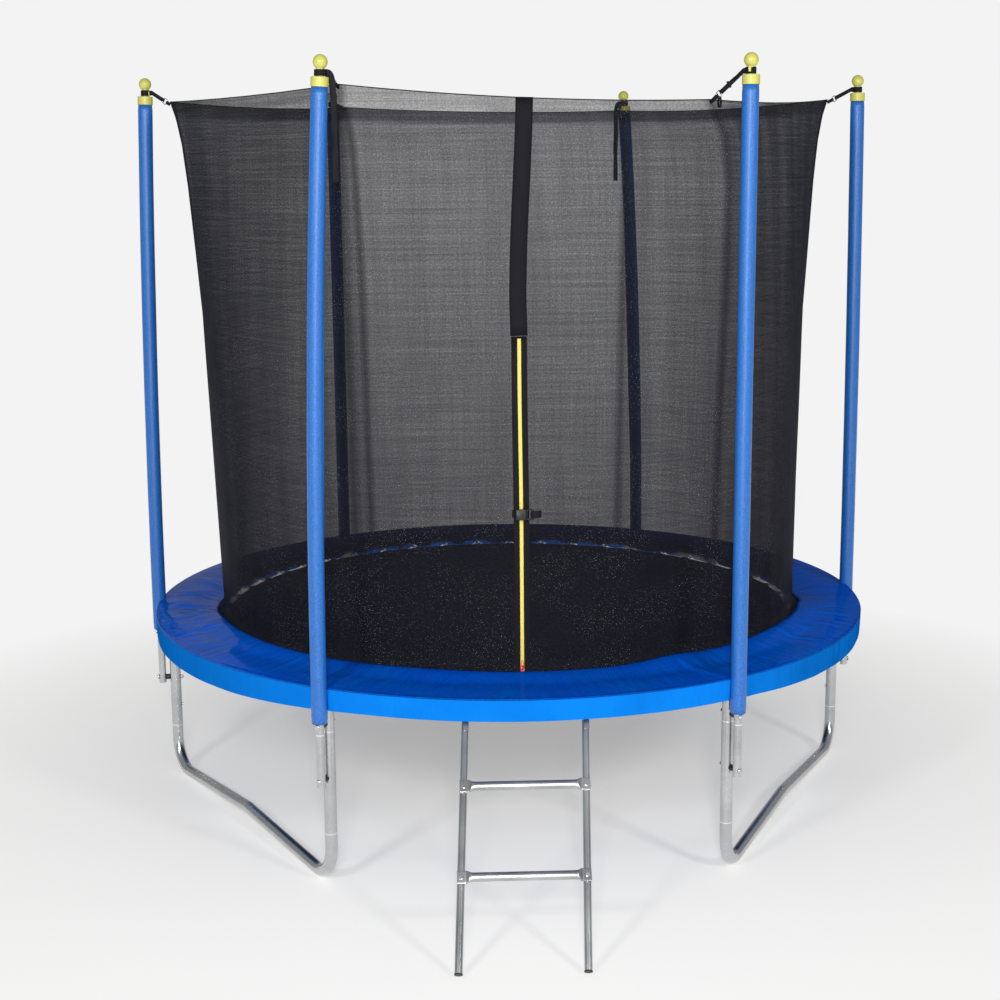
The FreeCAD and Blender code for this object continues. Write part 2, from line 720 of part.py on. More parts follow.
def safety_net():
    outer = [side_arcs(net_points(level, 0.0)) for level in NET_LEVELS[:-1]]
    outer.append(side_arcs(hem_points(0.0)))
    inner = [side_arcs(net_points(level, NET_WALL)) for level in NET_LEVELS[:-1]]
    inner.append(side_arcs(hem_points(NET_WALL)))
    faces = []
    for rows in (outer, inner):
        for lower, upper in zip(rows, rows[1:]):
            faces += [Part.makeRuledSurface(a, b) for a, b in zip(lower, upper)]
    for row in (0, -1):
        faces += [Part.makeRuledSurface(a, b) for a, b in zip(outer[row], inner[row])]
    shell = Part.Shell(faces)
    shell.sewShape()
    net = Part.Solid(Part.Shell(shell.Faces))
    if net.Volume < 0:
        net.reverse()
    return net


def door_strip(heights, width, near, far, lean=0.0):
    """Upright strip in front of the net at the door, between two standoffs; its top leans sideways."""
    sections = []
    rightward = polar(1.0, DOOR_ANGLE + 90)
    across = rightward * (width / 2)
    for height in heights:
        radius = span_radius(height)
        aside = rightward * (lean * (height - heights[0]) / (heights[-1] - heights[0]))
        inner = polar(radius + near, DOOR_ANGLE, height) + aside
        outer = polar(radius + far, DOOR_ANGLE, height) + aside
        corners = [inner - across, inner + across, outer + across, outer - across]
        sections.append(Part.makePolygon(corners + corners[:1]))
    return Part.makeLoft(sections, True, True)


def zip_tape():
    near = TRIM_GAP
    far = near + ZIP_TAPE_THICKNESS
    tape = door_strip((ZIP_BOTTOM, ZIP_TOP), ZIP_WIDTH, near, far)
    chain = door_strip((ZIP_BOTTOM, ZIP_TOP), CHAIN_WIDTH, near, far + CHAIN_HEIGHT)
    return tape.fuse(chain)


def zip_flap():
    inside = [level[0] for level in NET_LEVELS if FLAP_BOTTOM < level[0] < FLAP_TOP]
    heights = [FLAP_BOTTOM] + inside + [FLAP_TOP - NET_HEM_SAG[4]]
    return door_strip(heights, FLAP_WIDTH, TRIM_GAP, TRIM_GAP + FLAP_THICKNESS, FLAP_LEAN)


def zip_slider():
    tape_face = TRIM_GAP + ZIP_TAPE_THICKNESS
    near = tape_face + SLIDER_GAP
    roof = tape_face + CHAIN_HEIGHT + SLIDER_GAP
    far = roof + SLIDER_ROOF
    ends = (SLIDER_BOTTOM, SLIDER_BOTTOM + SLIDER_LENGTH)
    block = door_strip(ends, SLIDER_WIDTH, near, far)
    margin = (ends[0] - 1, ends[1] + 1)
    channel = door_strip(margin, CHAIN_WIDTH + 2 * SLIDER_GAP, near - 1, roof)
    block = block.cut(channel)
    pull_ends = (ends[0] + SLIDER_LENGTH / 2, ends[0] + SLIDER_LENGTH / 2 + PULL_LENGTH)
    pull = door_strip(pull_ends, PULL_WIDTH, far - 0.5, far - 0.5 + PULL_THICKNESS)
    return block.fuse(pull)


def door_box(low, high):
    """Box at the buckle: X to the right across the door, Y out from the net, Z up."""
    shape = box_between(V(-high[0], low[1], low[2]), V(-low[0], high[1], high[2]))
    shape = turned(shape, DOOR_ANGLE - 90)
    radius = span_radius(BUCKLE_HEIGHT) + BUCKLE_STANDOFF
    shape.translate(polar(radius, DOOR_ANGLE, BUCKLE_HEIGHT))
    return shape


def buckle_socket():
    half = BUCKLE_WIDTH / 2
    mouth = BUCKLE_SHIFT
    body = door_box((mouth - SOCKET_LENGTH, 0, -half), (mouth, BUCKLE_THICKNESS, half))
    slot_half = TONGUE_WIDTH / 2 + FIT_GAP
    slot_low = (BUCKLE_THICKNESS - TONGUE_THICKNESS) / 2 - FIT_GAP
    slot_high = slot_low + TONGUE_THICKNESS + 2 * FIT_GAP
    depth = TONGUE_LENGTH + 1
    slot = door_box((mouth - depth, slot_low, -slot_half), (mouth + 1, slot_high, slot_half))
    return body.cut(slot)


def buckle_plug():
    half = BUCKLE_WIDTH / 2
    start = BUCKLE_SHIFT + SEAT_GAP
    body = door_box((start, 0, -half), (start + PLUG_LENGTH, BUCKLE_THICKNESS, half))
    low = (BUCKLE_THICKNESS - TONGUE_THICKNESS) / 2
    high = low + TONGUE_THICKNESS
    tip = start - TONGUE_LENGTH
    tongue_half = TONGUE_WIDTH / 2
    tongue = door_box((tip, low, -tongue_half), (start + 1, high, tongue_half))
    gap_half = FINGER_GAP / 2
    finger_gap = door_box((tip - 1, low - 1, -gap_half), (start - 4, high + 1, gap_half))
    return body.fuse(tongue).cut(finger_gap)


# Straps at the top
def neck_place(index):
    rise = STRAP_HEIGHT - FOAM_TOP
    marker = at_pole_top(Part.Vertex(0, 0, rise), index)
    return marker.Point


def oriented_box(start, along, side, length, width, thickness):
    """Box from start along one direction, with its width along the third direction."""
    tall = along.cross(side)
    corner = start - side * (thickness / 2) - tall * (width / 2)
    a = corner
    b = corner + side * thickness
    c = b + tall * width
    d = corner + tall * width
    return Part.Face(Part.makePolygon([a, b, c, d, a])).extrude(along * length)


def strap_slab(points, side, thickness):
    """Webbing with its width upright, along points in one upright plane."""
    rise = UP * (STRAP_WIDTH / 2)
    outline = [point + rise for point in points] + [point - rise for point in reversed(points)]
    outline = [point - side * (thickness / 2) for point in outline]
    return Part.Face(Part.makePolygon(outline + outline[:1])).extrude(side * thickness)


def net_strap(index, net_outside):
    """Webbing loop round a cap's neck, and its arms to the ring and the net's corner."""
    neck = neck_place(index)
    corner = hem_points(0.0)[0][index] - UP * (STRAP_WIDTH / 2)
    level = V(corner.x - neck.x, corner.y - neck.y, 0).normalize()
    side = level.cross(UP).normalize()
    knee = neck + level * STRAP_LEVEL_RUN
    run = corner - knee
    length = run.Length
    along = run * (1 / length)
    loop_inner = CAP_NECK_D / 2 + SEAT_GAP
    loop_outer = loop_inner + STRAP_LOOP_WALL
    loop = Part.makeCylinder(loop_outer, STRAP_WIDTH, V(0, 0, -STRAP_WIDTH / 2))
    hollow = Part.makeCylinder(loop_inner, STRAP_WIDTH, V(0, 0, -STRAP_WIDTH / 2))
    rise = V(0, 0, STRAP_HEIGHT - FOAM_TOP)
    loop.translate(rise)
    hollow.translate(rise)
    loop = at_pole_top(loop, index)
    hollow = at_pole_top(hollow, index)
    ring_centre = length * STRAP_RING_SHARE
    ring_r = STRAP_RING_D / 2
    overlap = STRAP_END_BLOCK / 2
    block = 2.6 * STRAP_THICKNESS
    near_end = knee + along * (ring_centre - ring_r + overlap)
    block_start = near_end - along * STRAP_END_BLOCK
    near = strap_slab([neck + level * loop_inner, knee, near_end], side, STRAP_THICKNESS)
    near_block = strap_slab([block_start, near_end], side, block)
    far_start = knee + along * (ring_centre + ring_r - overlap)
    far = strap_slab([far_start, corner + level * STRAP_END_BLOCK], side, block)
    ring_at = knee + along * ring_centre
    room = Part.makeTorus(ring_r, STRAP_RING_WIRE_D / 2 + FIT_GAP, ring_at, side)
    near_arm = loop.fuse([near, near_block]).cut([hollow, room])
    far_arm = far.cut([room, net_outside])
    ring = Part.makeTorus(ring_r, STRAP_RING_WIRE_D / 2, ring_at, side)
    return near_arm, far_arm, ring


def rounded_route(points):
    """Path through points, each corner rounded by an arc that meets its runs smoothly."""
    edges = []
    start = points[0]
    for before, corner, after in zip(points, points[1:], points[2:]):
        arrive = corner - before
        leave = after - corner
        shorter = min(arrive.Length, leave.Length)
        first = arrive * (1 / arrive.Length)
        second = leave * (1 / leave.Length)
        half_turn = first.getAngle(second) / 2
        cut_back = 0.45 * shorter
        radius = cut_back / math.tan(half_turn)
        arc_start = corner - first * cut_back
        arc_end = corner + second * cut_back
        towards = (second - first).normalize()
        centre = corner + towards * (radius / math.cos(half_turn))
        arc_middle = centre - towards * radius
        edges.append(Part.makeLine(start, arc_start))
        edges.append(Part.Arc(arc_start, arc_middle, arc_end).toShape())
        print("bend radius", round(radius, 1))
        start = arc_end
    edges.append(Part.makeLine(start, points[-1]))
    return Part.Wire(edges)


def strap_tail(order):
    """Loose end of a strap: it folds over beside the cap and hangs down."""
    index = TAIL_POLES[order] - 1
    neck = neck_place(index)
    direction = outward(TAIL_DIRECTIONS[order])
    side = direction.cross(UP)
    begin = neck + direction * (CAP_NECK_D / 2 + STRAP_LOOP_WALL + 2 * SEAT_GAP)
    points = [begin, neck + direction * TAIL_REACH + UP * (STRAP_THICKNESS)]
    for out, drop in TAIL_WAVES[order]:
        points.append(neck + direction * (TAIL_REACH + out) + UP * drop)
    route = rounded_route(points)
    first = (points[1] - points[0]).normalize()
    tall = side.cross(first).normalize() * (STRAP_THICKNESS / 2)
    across = side * (STRAP_WIDTH / 2)
    start = points[0]
    corners = [start - across - tall, start + across - tall, start + across + tall, start - across + tall]
    section = Part.makePolygon(corners + corners[:1])
    tail = route.makePipeShell([section], True, False)
    expected = route.Length * STRAP_WIDTH * STRAP_THICKNESS
    print("tail length", round(route.Length, 1), "volume share", round(tail.Volume / expected, 4))
    for point in points:
        print("tail point", round(point.x, 2), round(point.y, 2), round(point.z - MAT_TOP, 2))
    return tail


# Ladder, drawn in its own upright plane: X across, Y out from the bed, Z up
def ladder_axis_reach():
    """Distance of the ring's middle line at the hooks from the bed's axis."""
    return math.sqrt(RING_RADIUS ** 2 - (LADDER_SPACING / 2) ** 2)


def ladder_frame():
    """Foot, direction up the ladder, and direction off its upper face."""
    hinge = V(0, ladder_axis_reach(), RING_HEIGHT)
    slope = math.radians(50)
    askew = math.cos(math.radians(LADDER_RACK))
    for _ in range(5):
        tilt = math.sqrt(1 - (math.sin(slope) * askew) ** 2)
        foot = V(0, LADDER_FOOT_REACH, LADDER_FOOT_D / 2 * tilt)
        run = hinge - foot
        reach = run.Length
        straight = math.atan2(run.z, -run.y)
        slope = straight - math.asin(LADDER_UNDER_HOOK / reach)
    along = V(0, -math.cos(slope), math.sin(slope))
    off = V(0, math.sin(slope), math.cos(slope))
    under = math.sqrt(reach ** 2 - LADDER_UNDER_HOOK ** 2)
    return foot, along, off, under, hinge


def ladder_place(shape):
    return turned(shape, LADDER_ANGLE - 90)


def rail_line(side):
    """Foot, direction and length of a rail, which leans sideways from its hook down."""
    foot, along, off, under, hinge = ladder_frame()
    foot = foot + V(side * LADDER_SPACING / 2, 0, 0)
    run = along * under - V(sideways(under), 0, 0)
    return foot + V(sideways(under), 0, 0), V(run).normalize(), run.Length


def sideways(below_hook):
    return below_hook * math.tan(math.radians(LADDER_RACK))


def ladder_rail(side):
    along, off, under, hinge = ladder_frame()[1:]
    shift = V(side * LADDER_SPACING / 2, 0, 0)
    bottom, lean, rail_length = rail_line(side)
    start = bottom + lean * (LADDER_FOOT_RIM + FIT_GAP)
    length = rail_length - LADDER_TOP_GAP - LADDER_FOOT_RIM - FIT_GAP
    rail = Part.makeCylinder(LADDER_TUBE_D / 2, length, start, lean)
    hook_in = TUBE_R + HOOK_GAP
    hook_out = hook_in + HOOK_THICKNESS
    centre = hinge + shift
    hook = Part.makeCylinder(hook_out, HOOK_WIDTH, centre - V(HOOK_WIDTH / 2, 0, 0), V(1, 0, 0))
    hook = hook.cut(
        Part.makeCylinder(hook_in, HOOK_WIDTH, centre - V(HOOK_WIDTH / 2, 0, 0), V(1, 0, 0))
    )
    drop = LADDER_UNDER_HOOK - LADDER_TUBE_D / 2
    strip_start = centre - off * drop - along * HOOK_STRIP_LENGTH
    sunk = FRAME_WALL / 3
    strip_top = drop - HOOK_THICKNESS + sunk
    strip_length = HOOK_STRIP_LENGTH - math.sqrt(hook_in ** 2 - strip_top ** 2)
    strip_middle = strip_start + off * (HOOK_THICKNESS / 2 - sunk)
    strip = oriented_box(strip_middle, along, off, strip_length, HOOK_WIDTH, HOOK_THICKNESS)
    below = oriented_box(
        centre - along * hook_out - off * (drop + hook_out),
        along,
        off,
        2 * hook_out,
        2 * HOOK_WIDTH,
        2 * hook_out,
    )
    reach = 2 * hook_out
    mouth = box_between(
        centre - V(HOOK_WIDTH, reach, reach), centre + V(HOOK_WIDTH, 0, -HOOK_LIP)
    )
    hook = hook.cut([below, mouth])
    rail = rail.fuse([strip, hook])
    bore = Part.makeCylinder(LADDER_TUBE_D / 2 - FRAME_WALL, length - LADDER_TUBE_D, start, lean)
    rail = rail.cut(bore)
    for height in RUNG_HEIGHTS:
        rail = rail.cut(rung_bolt_rod(side, height, -2 * LADDER_TUBE_D, LADDER_TUBE_D, 2 * SEAT_GAP))
    return ladder_place(rail)


def rung_centre(height):
    foot, along, off, under, hinge = ladder_frame()
    up_rail = (height - foot.z) / along.z
    stand = LADDER_TUBE_D / 2 + FIT_GAP + RUNG_FLAT_THICKNESS / 2
    return foot + along * up_rail + off * stand + V(sideways(under - up_rail), 0, 0)


def rung_bolt_rod(side, height, start, end, extra):
    foot, along, off, under, hinge = ladder_frame()
    middle = rung_centre(height) + V(side * LADDER_SPACING / 2, 0, 0)
    return Part.makeCylinder((LADDER_BOLT_D + extra) / 2, end - start, middle + off * start, off)


def rung(height):
    foot, along, off, under, hinge = ladder_frame()
    centre = rung_centre(height)
    half = LADDER_SPACING / 2 + LADDER_TUBE_D / 2
    flat_end = half - RUNG_FLAT_LENGTH
    round_end = flat_end - RUNG_TAPER_LENGTH

    def oval(x, across, thick):
        """Rounded outline across the rung, longer up the rail than it is thick."""
        middle = centre + V(x, 0, 0)
        flat = (across - thick) / 2
        bulge = thick / 2
        a = middle + along * flat + off * bulge
        b = middle - along * flat + off * bulge
        c = middle - along * flat - off * bulge
        d = middle + along * flat - off * bulge
        low = middle - along * (flat + bulge)
        high = middle + along * (flat + bulge)
        edges = [
            Part.makeLine(a, b),
            Part.Arc(b, low, c).toShape(),
            Part.makeLine(c, d),
            Part.Arc(d, high, a).toShape(),
        ]
        return Part.Wire(edges)

    nearly_round = RUNG_D * 0.98
    body = Part.makeLoft(
        [oval(-round_end, RUNG_D, nearly_round), oval(round_end, RUNG_D, nearly_round)], True, True
    )
    pieces = []
    for side in (-1, 1):
        taper = [
            oval(side * round_end, RUNG_D, nearly_round),
            oval(side * flat_end, RUNG_FLAT_WIDTH, RUNG_FLAT_THICKNESS),
        ]
        flat = [
            oval(side * flat_end, RUNG_FLAT_WIDTH, RUNG_FLAT_THICKNESS),
            oval(side * half, RUNG_FLAT_WIDTH, RUNG_FLAT_THICKNESS),
        ]
        pieces += [Part.makeLoft(taper, True, True), Part.makeLoft(flat, True, True)]
    body = body.fuse(pieces)
    for side in (-1, 1):
        body = body.cut(rung_bolt_rod(side, height, -RUNG_D, RUNG_D, 2 * SEAT_GAP))
    return ladder_place(body)


def rung_bolt(side, height):
    plate = RUNG_FLAT_THICKNESS / 2 + FIT_GAP
    shank = rung_bolt_rod(side, height, -LADDER_TUBE_D - plate - 6.0, plate, 0.0)
    head = rung_bolt_rod(side, height, plate, plate + 4.0, LADDER_BOLT_D)
    return ladder_place(shank.fuse(head))


def ladder_foot(side):
    """Plug in the rail's lower end, with a rounded rim that stands on the floor."""
    middle, lean = rail_line(side)[:2]
    rim = Part.makeCylinder(LADDER_FOOT_D / 2, LADDER_FOOT_RIM, middle, lean)
    circles = [edge for edge in rim.Edges if isinstance(edge.Curve, Part.Circle)]
    rim = rim.makeFillet(LADDER_FOOT_RIM / 4, circles)
    stem_r = LADDER_TUBE_D / 2 - FRAME_WALL - FIT_GAP
    stem = Part.makeCylinder(stem_r, LADDER_FOOT_LENGTH, middle, lean)
    return ladder_place(rim.fuse(stem))


def build():
    os.makedirs(PARTS, exist_ok=True)
    upright = leg_upright()
    for index, angle in enumerate(CORNER_ANGLES):
        number = str(index + 1)
        rail = top_rail(angle - index * STEP)
        save("top_rail_" + number, [turned(rail, index * STEP)])
        save("leg_upright_" + number, [turned(upright, angle)])
        save("pole_" + number, pole(index))
        save("foam_sleeve_" + number, [foam_sleeve(index)])
        save("pole_cap_" + number, [pole_cap(index)])
    for order in range(SIDES // 2):
        save("leg_base_" + str(order + 1), [leg_base(order)])
    places = pole_angles_and_heights()
    save("pole_spacers", [pole_spacer(*place) for place in places])
    save("pole_bolts", [pole_bolt(*place) for place in places])
    save("pole_nuts", [pole_nut(*place) for place in places])
    save("leg_screws", [leg_screw(angle) for angle in CORNER_ANGLES])

    save("jumping_mat", [mat()])
    save("mat_rings", [turned(mat_ring(), angle) for angle in spring_angles()])
    save("springs", [turned(spring(), angle) for angle in spring_angles()])
    save("spring_pad", [pad()])
    save("pad_ties", [pad_tie(angle) for angle in TIE_ANGLES])

    save("safety_net", [safety_net()])
    save("zip_tape", [zip_tape()])
    save("zip_flap", [zip_flap()])
    save("zip_slider", [zip_slider()])
    save("buckle_socket", [buckle_socket()])
    save("buckle_plug", [buckle_plug()])
    net_outside = net_solid_inside(-STRAP_NET_GAP)
    straps = [net_strap(index, net_outside) for index in range(SIDES)]
    save("net_straps", [arm for strap in straps for arm in strap[:2]])
    save("strap_rings", [strap[2] for strap in straps])
    for order in range(len(TAIL_POLES)):
        save("strap_tail_" + str(order + 1), [strap_tail(order)])

    for side, name in ((-1, "left"), (1, "right")):
        save("ladder_rail_" + name, [ladder_rail(side)])
    for order, height in enumerate(RUNG_HEIGHTS):
        save("ladder_rung_" + str(order + 1), [rung(height)])
    bolts = [rung_bolt(side, height) for side in (-1, 1) for height in RUNG_HEIGHTS]
    save("ladder_bolts", bolts)
    save("ladder_feet", [ladder_foot(side) for side in (-1, 1)])


build()
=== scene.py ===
import math

import bpy
from bpy.props import FloatProperty, FloatVectorProperty, IntProperty, PointerProperty
from mathutils import Matrix, Quaternion, Vector, noise


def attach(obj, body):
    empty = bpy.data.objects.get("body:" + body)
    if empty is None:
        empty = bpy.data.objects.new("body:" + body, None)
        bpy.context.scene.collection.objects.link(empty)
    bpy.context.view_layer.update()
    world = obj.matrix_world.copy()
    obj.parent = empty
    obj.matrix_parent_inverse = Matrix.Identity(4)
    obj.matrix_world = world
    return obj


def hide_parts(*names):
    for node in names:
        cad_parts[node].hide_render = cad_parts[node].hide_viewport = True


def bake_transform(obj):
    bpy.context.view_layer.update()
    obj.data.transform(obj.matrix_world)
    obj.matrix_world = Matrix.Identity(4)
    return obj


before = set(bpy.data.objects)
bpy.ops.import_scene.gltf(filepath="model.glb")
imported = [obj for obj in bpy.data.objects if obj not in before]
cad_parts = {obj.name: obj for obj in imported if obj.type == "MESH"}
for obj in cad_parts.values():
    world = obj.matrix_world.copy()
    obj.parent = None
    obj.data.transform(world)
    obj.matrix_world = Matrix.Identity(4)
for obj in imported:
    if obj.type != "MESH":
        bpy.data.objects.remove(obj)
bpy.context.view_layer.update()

bl_info = {
    "name": "Garden Trampoline",
    "version": (1, 0, 0),
    "blender": (4, 2, 0),
    "location": "3D View > Sidebar > Trampoline",
    "description": "Dresses a trampoline with its safety net, spring pad, poles and ladder",
    "category": "Add Mesh",
}

FLOOR = -0.604
UP = Vector((0.0, 0.0, 1.0))
SIDES = 6
STEP = 360.0 / SIDES

# Shapes that the pieces share, in metres, with heights from the mat's upper face
RING_RADIUS = 1.200
RING_HEIGHT = -0.004
TUBE_RADIUS = 0.019
POLE_RADIUS = 1.2455
POLE_BEND_START = -0.059
POLE_REACH = 1.815
FOAM_ENDS = (-0.078, 1.748)
CORNER_ANGLES = (3.0, 60.8, 120.0, 178.2, 240.0, 300.0)

# How far the net bends each pole inwards, and sideways, at the pole's upper end
POLE_PULLED_IN = (0.015, 0.0435, 0.030, 0.0345, 0.0285, 0.007)
POLE_PULLED_ALONG = (0.0, 0.050, 0.019, 0.0, 0.0465, 0.008)

NECK_HEIGHT = 1.786
FOAM_BORE = 0.0132
FOAM_LEVELS = 90
SPRINGS = 48
SPRING_STEP = 360.0 / SPRINGS
MAT_RADIUS = 0.990
MAT_COLUMNS = 144
TAB_BAR = 0.998
RING_END = 1.030
PAD_INNER = 1.026
PAD_SHOULDER = 1.2335
PAD_EDGE = 1.237
PAD_UNDERSIDE = 0.0195
PAD_COLUMNS = 960
NET_COLUMNS = 40
NET_HEM = 0.041
WEBBING_WIDTH = 0.018
DOOR_ANGLE = 269.0

# Low edge, high edge, lean to the right and width of the flap over the door
FLAP = (1.048, 1.722, 0.016, 0.050)

# Net: height, radius at the corners and radius at the middle of a side
NET_LEVELS = (
    (0.003, 1.003, 1.003),
    (0.496, 1.022, 0.9969),
    (1.046, 1.042, 0.990),
    (1.476, 1.074, 0.977),
    (1.616, 1.089, 0.972),
    (1.806, 1.122, 0.966),
)
NET_SEAM_TURN = (0.0, 0.0, 0.0, 0.0, 0.0, 5.5)
NET_CORNER_TURN = (0.0, 3.5, 1.0, 0.0, 1.5, -4.8)
NET_CORNER_PULL = (-0.004, 0.0, -0.005, 0.012, -0.028, -0.005)
NET_CORNER_HEIGHT = (1.750, 1.753, 1.771, 1.755, 1.760, 1.712)
NET_HEM_SAG = (0.014, 0.012, 0.012, 0.008, 0.016, 0.010)

# Middle lines of the two loose strap ends, from the neck of the cap to the cut end
TAIL_ROUTES = (
    (
        (0.52882, 1.06918, 1.78451),
        (0.51524, 1.06503, 1.78701),
        (0.51046, 1.06356, 1.72351),
        (0.51285, 1.06430, 1.66251),
        (0.50950, 1.06327, 1.60151),
        (0.51189, 1.06400, 1.54051),
        (0.51141, 1.06386, 1.47951),
    ),
    (
        (-0.55325, -1.07871, 1.78499),
        (-0.53910, -1.07995, 1.78749),
        (-0.53512, -1.08030, 1.72499),
        (-0.53213, -1.08056, 1.66499),
        (-0.53612, -1.08021, 1.60499),
        (-0.53313, -1.08047, 1.54499),
        (-0.53412, -1.08039, 1.48999),
    ),
)
TAIL_FACES = (272.0, 267.0)

BACKDROP = (0.896, 0.896, 0.896)
LADDER_ANGLE = 269.0
LADDER_RACK = 2.6
LADDER_HALF_WIDTH = 0.1745
LADDER_TUBE = 0.011
LADDER_FOOT = 1.676
LADDER_FOOT_CAP = 0.01175
LADDER_HINGE_GAP = 0.024
RUNG_FLAT = 0.0023
RUNG_HEIGHTS = (0.206, 0.404)


def polar(radius, angle, height=0.0):
    turn = math.radians(angle)
    return Vector((radius * math.cos(turn), radius * math.sin(turn), height))


def smooth_step(value, low, high):
    share = min(max((value - low) / (high - low), 0.0), 1.0)
    return share * share * (3 - 2 * share)


def hump(value, middle, wide, power=2):
    """Smooth hump, 1 high at its middle."""
    return math.exp(-((value - middle) / wide) ** power)


def around(count):
    """Equal turns of a full circle, in degrees."""
    return [360.0 * step / count for step in range(count)]


def arc(centre, first, second, radius, turns):
    """Points round a centre at some turns, from the first direction towards the second."""
    return [centre + first * (radius * math.cos(turn)) + second * (radius * math.sin(turn))
            for turn in map(math.radians, turns)]


# Meshes
def make_mesh(name, points, faces, material=None, uvs=None, smooth=True, wrap=0.0):
    """A piece at the origin, with a UV map if given per point; wrap is the map's way round."""
    mesh = bpy.data.meshes.new(name)
    mesh.from_pydata([tuple(p) for p in points], [], faces)
    if uvs is not None:
        layer = mesh.uv_layers.new(name="cloth")
        for loop in mesh.loops:
            layer.data[loop.index].uv = uvs[loop.vertex_index]
        for polygon in mesh.polygons if wrap else ():
            corners = [layer.data[index] for index in polygon.loop_indices]
            if max(corner.uv[0] for corner in corners) > wrap * 0.75:
                for corner in corners:
                    if corner.uv[0] < wrap * 0.25:
                        corner.uv[0] += wrap
    if smooth:
        mesh.polygons.foreach_set("use_smooth", [True] * len(mesh.polygons))
    if material is not None:
        mesh.materials.append(material)
    mesh.validate()
    mesh.update()
    piece = bpy.data.objects.new(name, mesh)
    bpy.context.scene.collection.objects.link(piece)
    return piece


class Build:
    """Points and faces of a piece, gathered from several shapes."""

    def __init__(self):
        self.points = []
        self.faces = []
        self.uvs = []

    def grid(self, rows, close_rows=False, close_columns=False, uvs=None):
        base = len(self.points)
        tall, wide = len(rows), len(rows[0])
        for row in rows:
            self.points += row
        self.uvs += uvs if uvs is not None else [(0.0, 0.0)] * (tall * wide)
        for j in range(tall if close_rows else tall - 1):
            for i in range(wide if close_columns else wide - 1):
                a = base + j * wide + i
                b = base + j * wide + (i + 1) % wide
                c = base + ((j + 1) % tall) * wide + (i + 1) % wide
                d = base + ((j + 1) % tall) * wide + i
                self.faces.append((a, b, c, d))
        return base

    def cap(self, indices):
        self.faces.append(tuple(indices))

    def loft(self, rings, uvs=None):
        """Closed cross-sections joined along a path, with both ends filled."""
        base = self.grid(rings, close_columns=True, uvs=uvs)
        wide = len(rings[0])
        last = base + (len(rings) - 1) * wide
        self.cap(reversed(range(base, base + wide)))
        self.cap(range(last, last + wide))

    def box(self, centre, x, y, z, bevel=0.0):
        """Block with softened edges, from its half-size vectors."""
        lengths = [v.length for v in (x, y, z)]
        units = [v.normalized() for v in (x, y, z)]
        rings = []
        for level, inset in ((-1, bevel), (-1, 0.0), (1, 0.0), (1, bevel)):
            height = level * (lengths[2] - (0.0 if inset else bevel))
            ring = []
            wide, deep = lengths[0] - inset, lengths[1] - inset
            corner = max(bevel, 0.0002)
            for sx, sy in ((1, 1), (-1, 1), (-1, -1), (1, -1)):
                for step in range(3):
                    turn = math.radians(45 * step)
                    first, second = math.cos(turn), math.sin(turn)
                    if sx * sy < 0:
                        first, second = second, first
                    px = sx * (wide - corner + corner * first)
                    py = sy * (deep - corner + corner * second)
                    ring.append(centre + units[0] * px + units[1] * py + units[2] * height)
            rings.append(ring)
        if units[0].cross(units[1]).dot(units[2]) < 0:
            rings = [list(reversed(ring)) for ring in rings]
        self.loft(rings)

    def sweep(self, rings, closed, uvs=None):
        if closed:
            self.grid(rings, close_rows=True, close_columns=True, uvs=uvs)
        else:
            self.loft(rings, uvs)

    def tube(self, path, radius, sides, closed=False):
        """Round bar along a path."""
        frames = path_frames(path, closed)
        self.sweep([arc(point, across, rise, radius, around(sides))
                    for point, (across, rise) in zip(path, frames)], closed)

    def ribbon(self, path, across, width, thickness, closed=False):
        """Flat webbing along a path; across is the direction of its width at each point."""
        widths = width if isinstance(width, list) else [width] * len(path)
        sides = across if isinstance(across, list) else [across] * len(path)
        rings = []
        uvs = []
        run = 0.0
        for index, point in enumerate(path):
            if index:
                run += (point - path[index - 1]).length
            along = heading(path, index, closed)
            side = (sides[index] - along * sides[index].dot(along)).normalized()
            normal = along.cross(side)
            half, deep = widths[index] / 2, thickness / 2
            soft = deep * 0.6
            outline = (
                (half, -deep + soft), (half, deep - soft), (half - soft, deep), (0.0, deep),
                (-half + soft, deep), (-half, deep - soft), (-half, -deep + soft),
                (-half + soft, -deep), (0.0, -deep), (half - soft, -deep),
            )
            rings.append([point + side * a + normal * b for a, b in outline])
            uvs += [(run, a + (0.05 if b < 0 else 0.0)) for a, b in outline]
        self.sweep(rings, closed, uvs)

    def piece(self, name, material, smooth=True, wrap=0.0):
        return make_mesh(name, self.points, self.faces, material, self.uvs, smooth, wrap)


def heading(path, index, closed=False):
    """Direction of a path at one of its points."""
    last = len(path) - 1
    before = path[index - 1] if index or closed else path[0]
    after = path[(index + 1) % len(path)] if index < last or closed else path[last]
    return (after - before).normalized()


def path_frames(path, closed=False):
    """Two directions across a path at each point, turning as little as they can."""
    frames = []
    across = heading(path, 0, closed).orthogonal().normalized()
    for index in range(len(path)):
        along = heading(path, index, closed)
        across = (across - along * across.dot(along)).normalized()
        frames.append((across.copy(), along.cross(across)))
    return frames


def rounded(points, radius, steps=6):
    """Points along a line whose corners are rounded."""
    path = [points[0]]
    for before, corner, after in zip(points, points[1:], points[2:]):
        first = before - corner
        second = after - corner
        half = first.angle(second) / 2
        cut = min(radius / math.tan(half), first.length * 0.48, second.length * 0.48)
        start = corner + first.normalized() * cut
        end = corner + second.normalized() * cut
        for step in range(steps + 1):
            share = step / steps
            a = start.lerp(corner, share)
            b = corner.lerp(end, share)
            path.append(a.lerp(b, share))
    path.append(points[-1])
    return path


def rounded_ring(corners, radius):
    """Closed line through some corners, which are rounded."""
    start = corners[0].lerp(corners[1], 0.5)
    return rounded([start, *corners[1:], corners[0], start], radius, 4)[:-1]


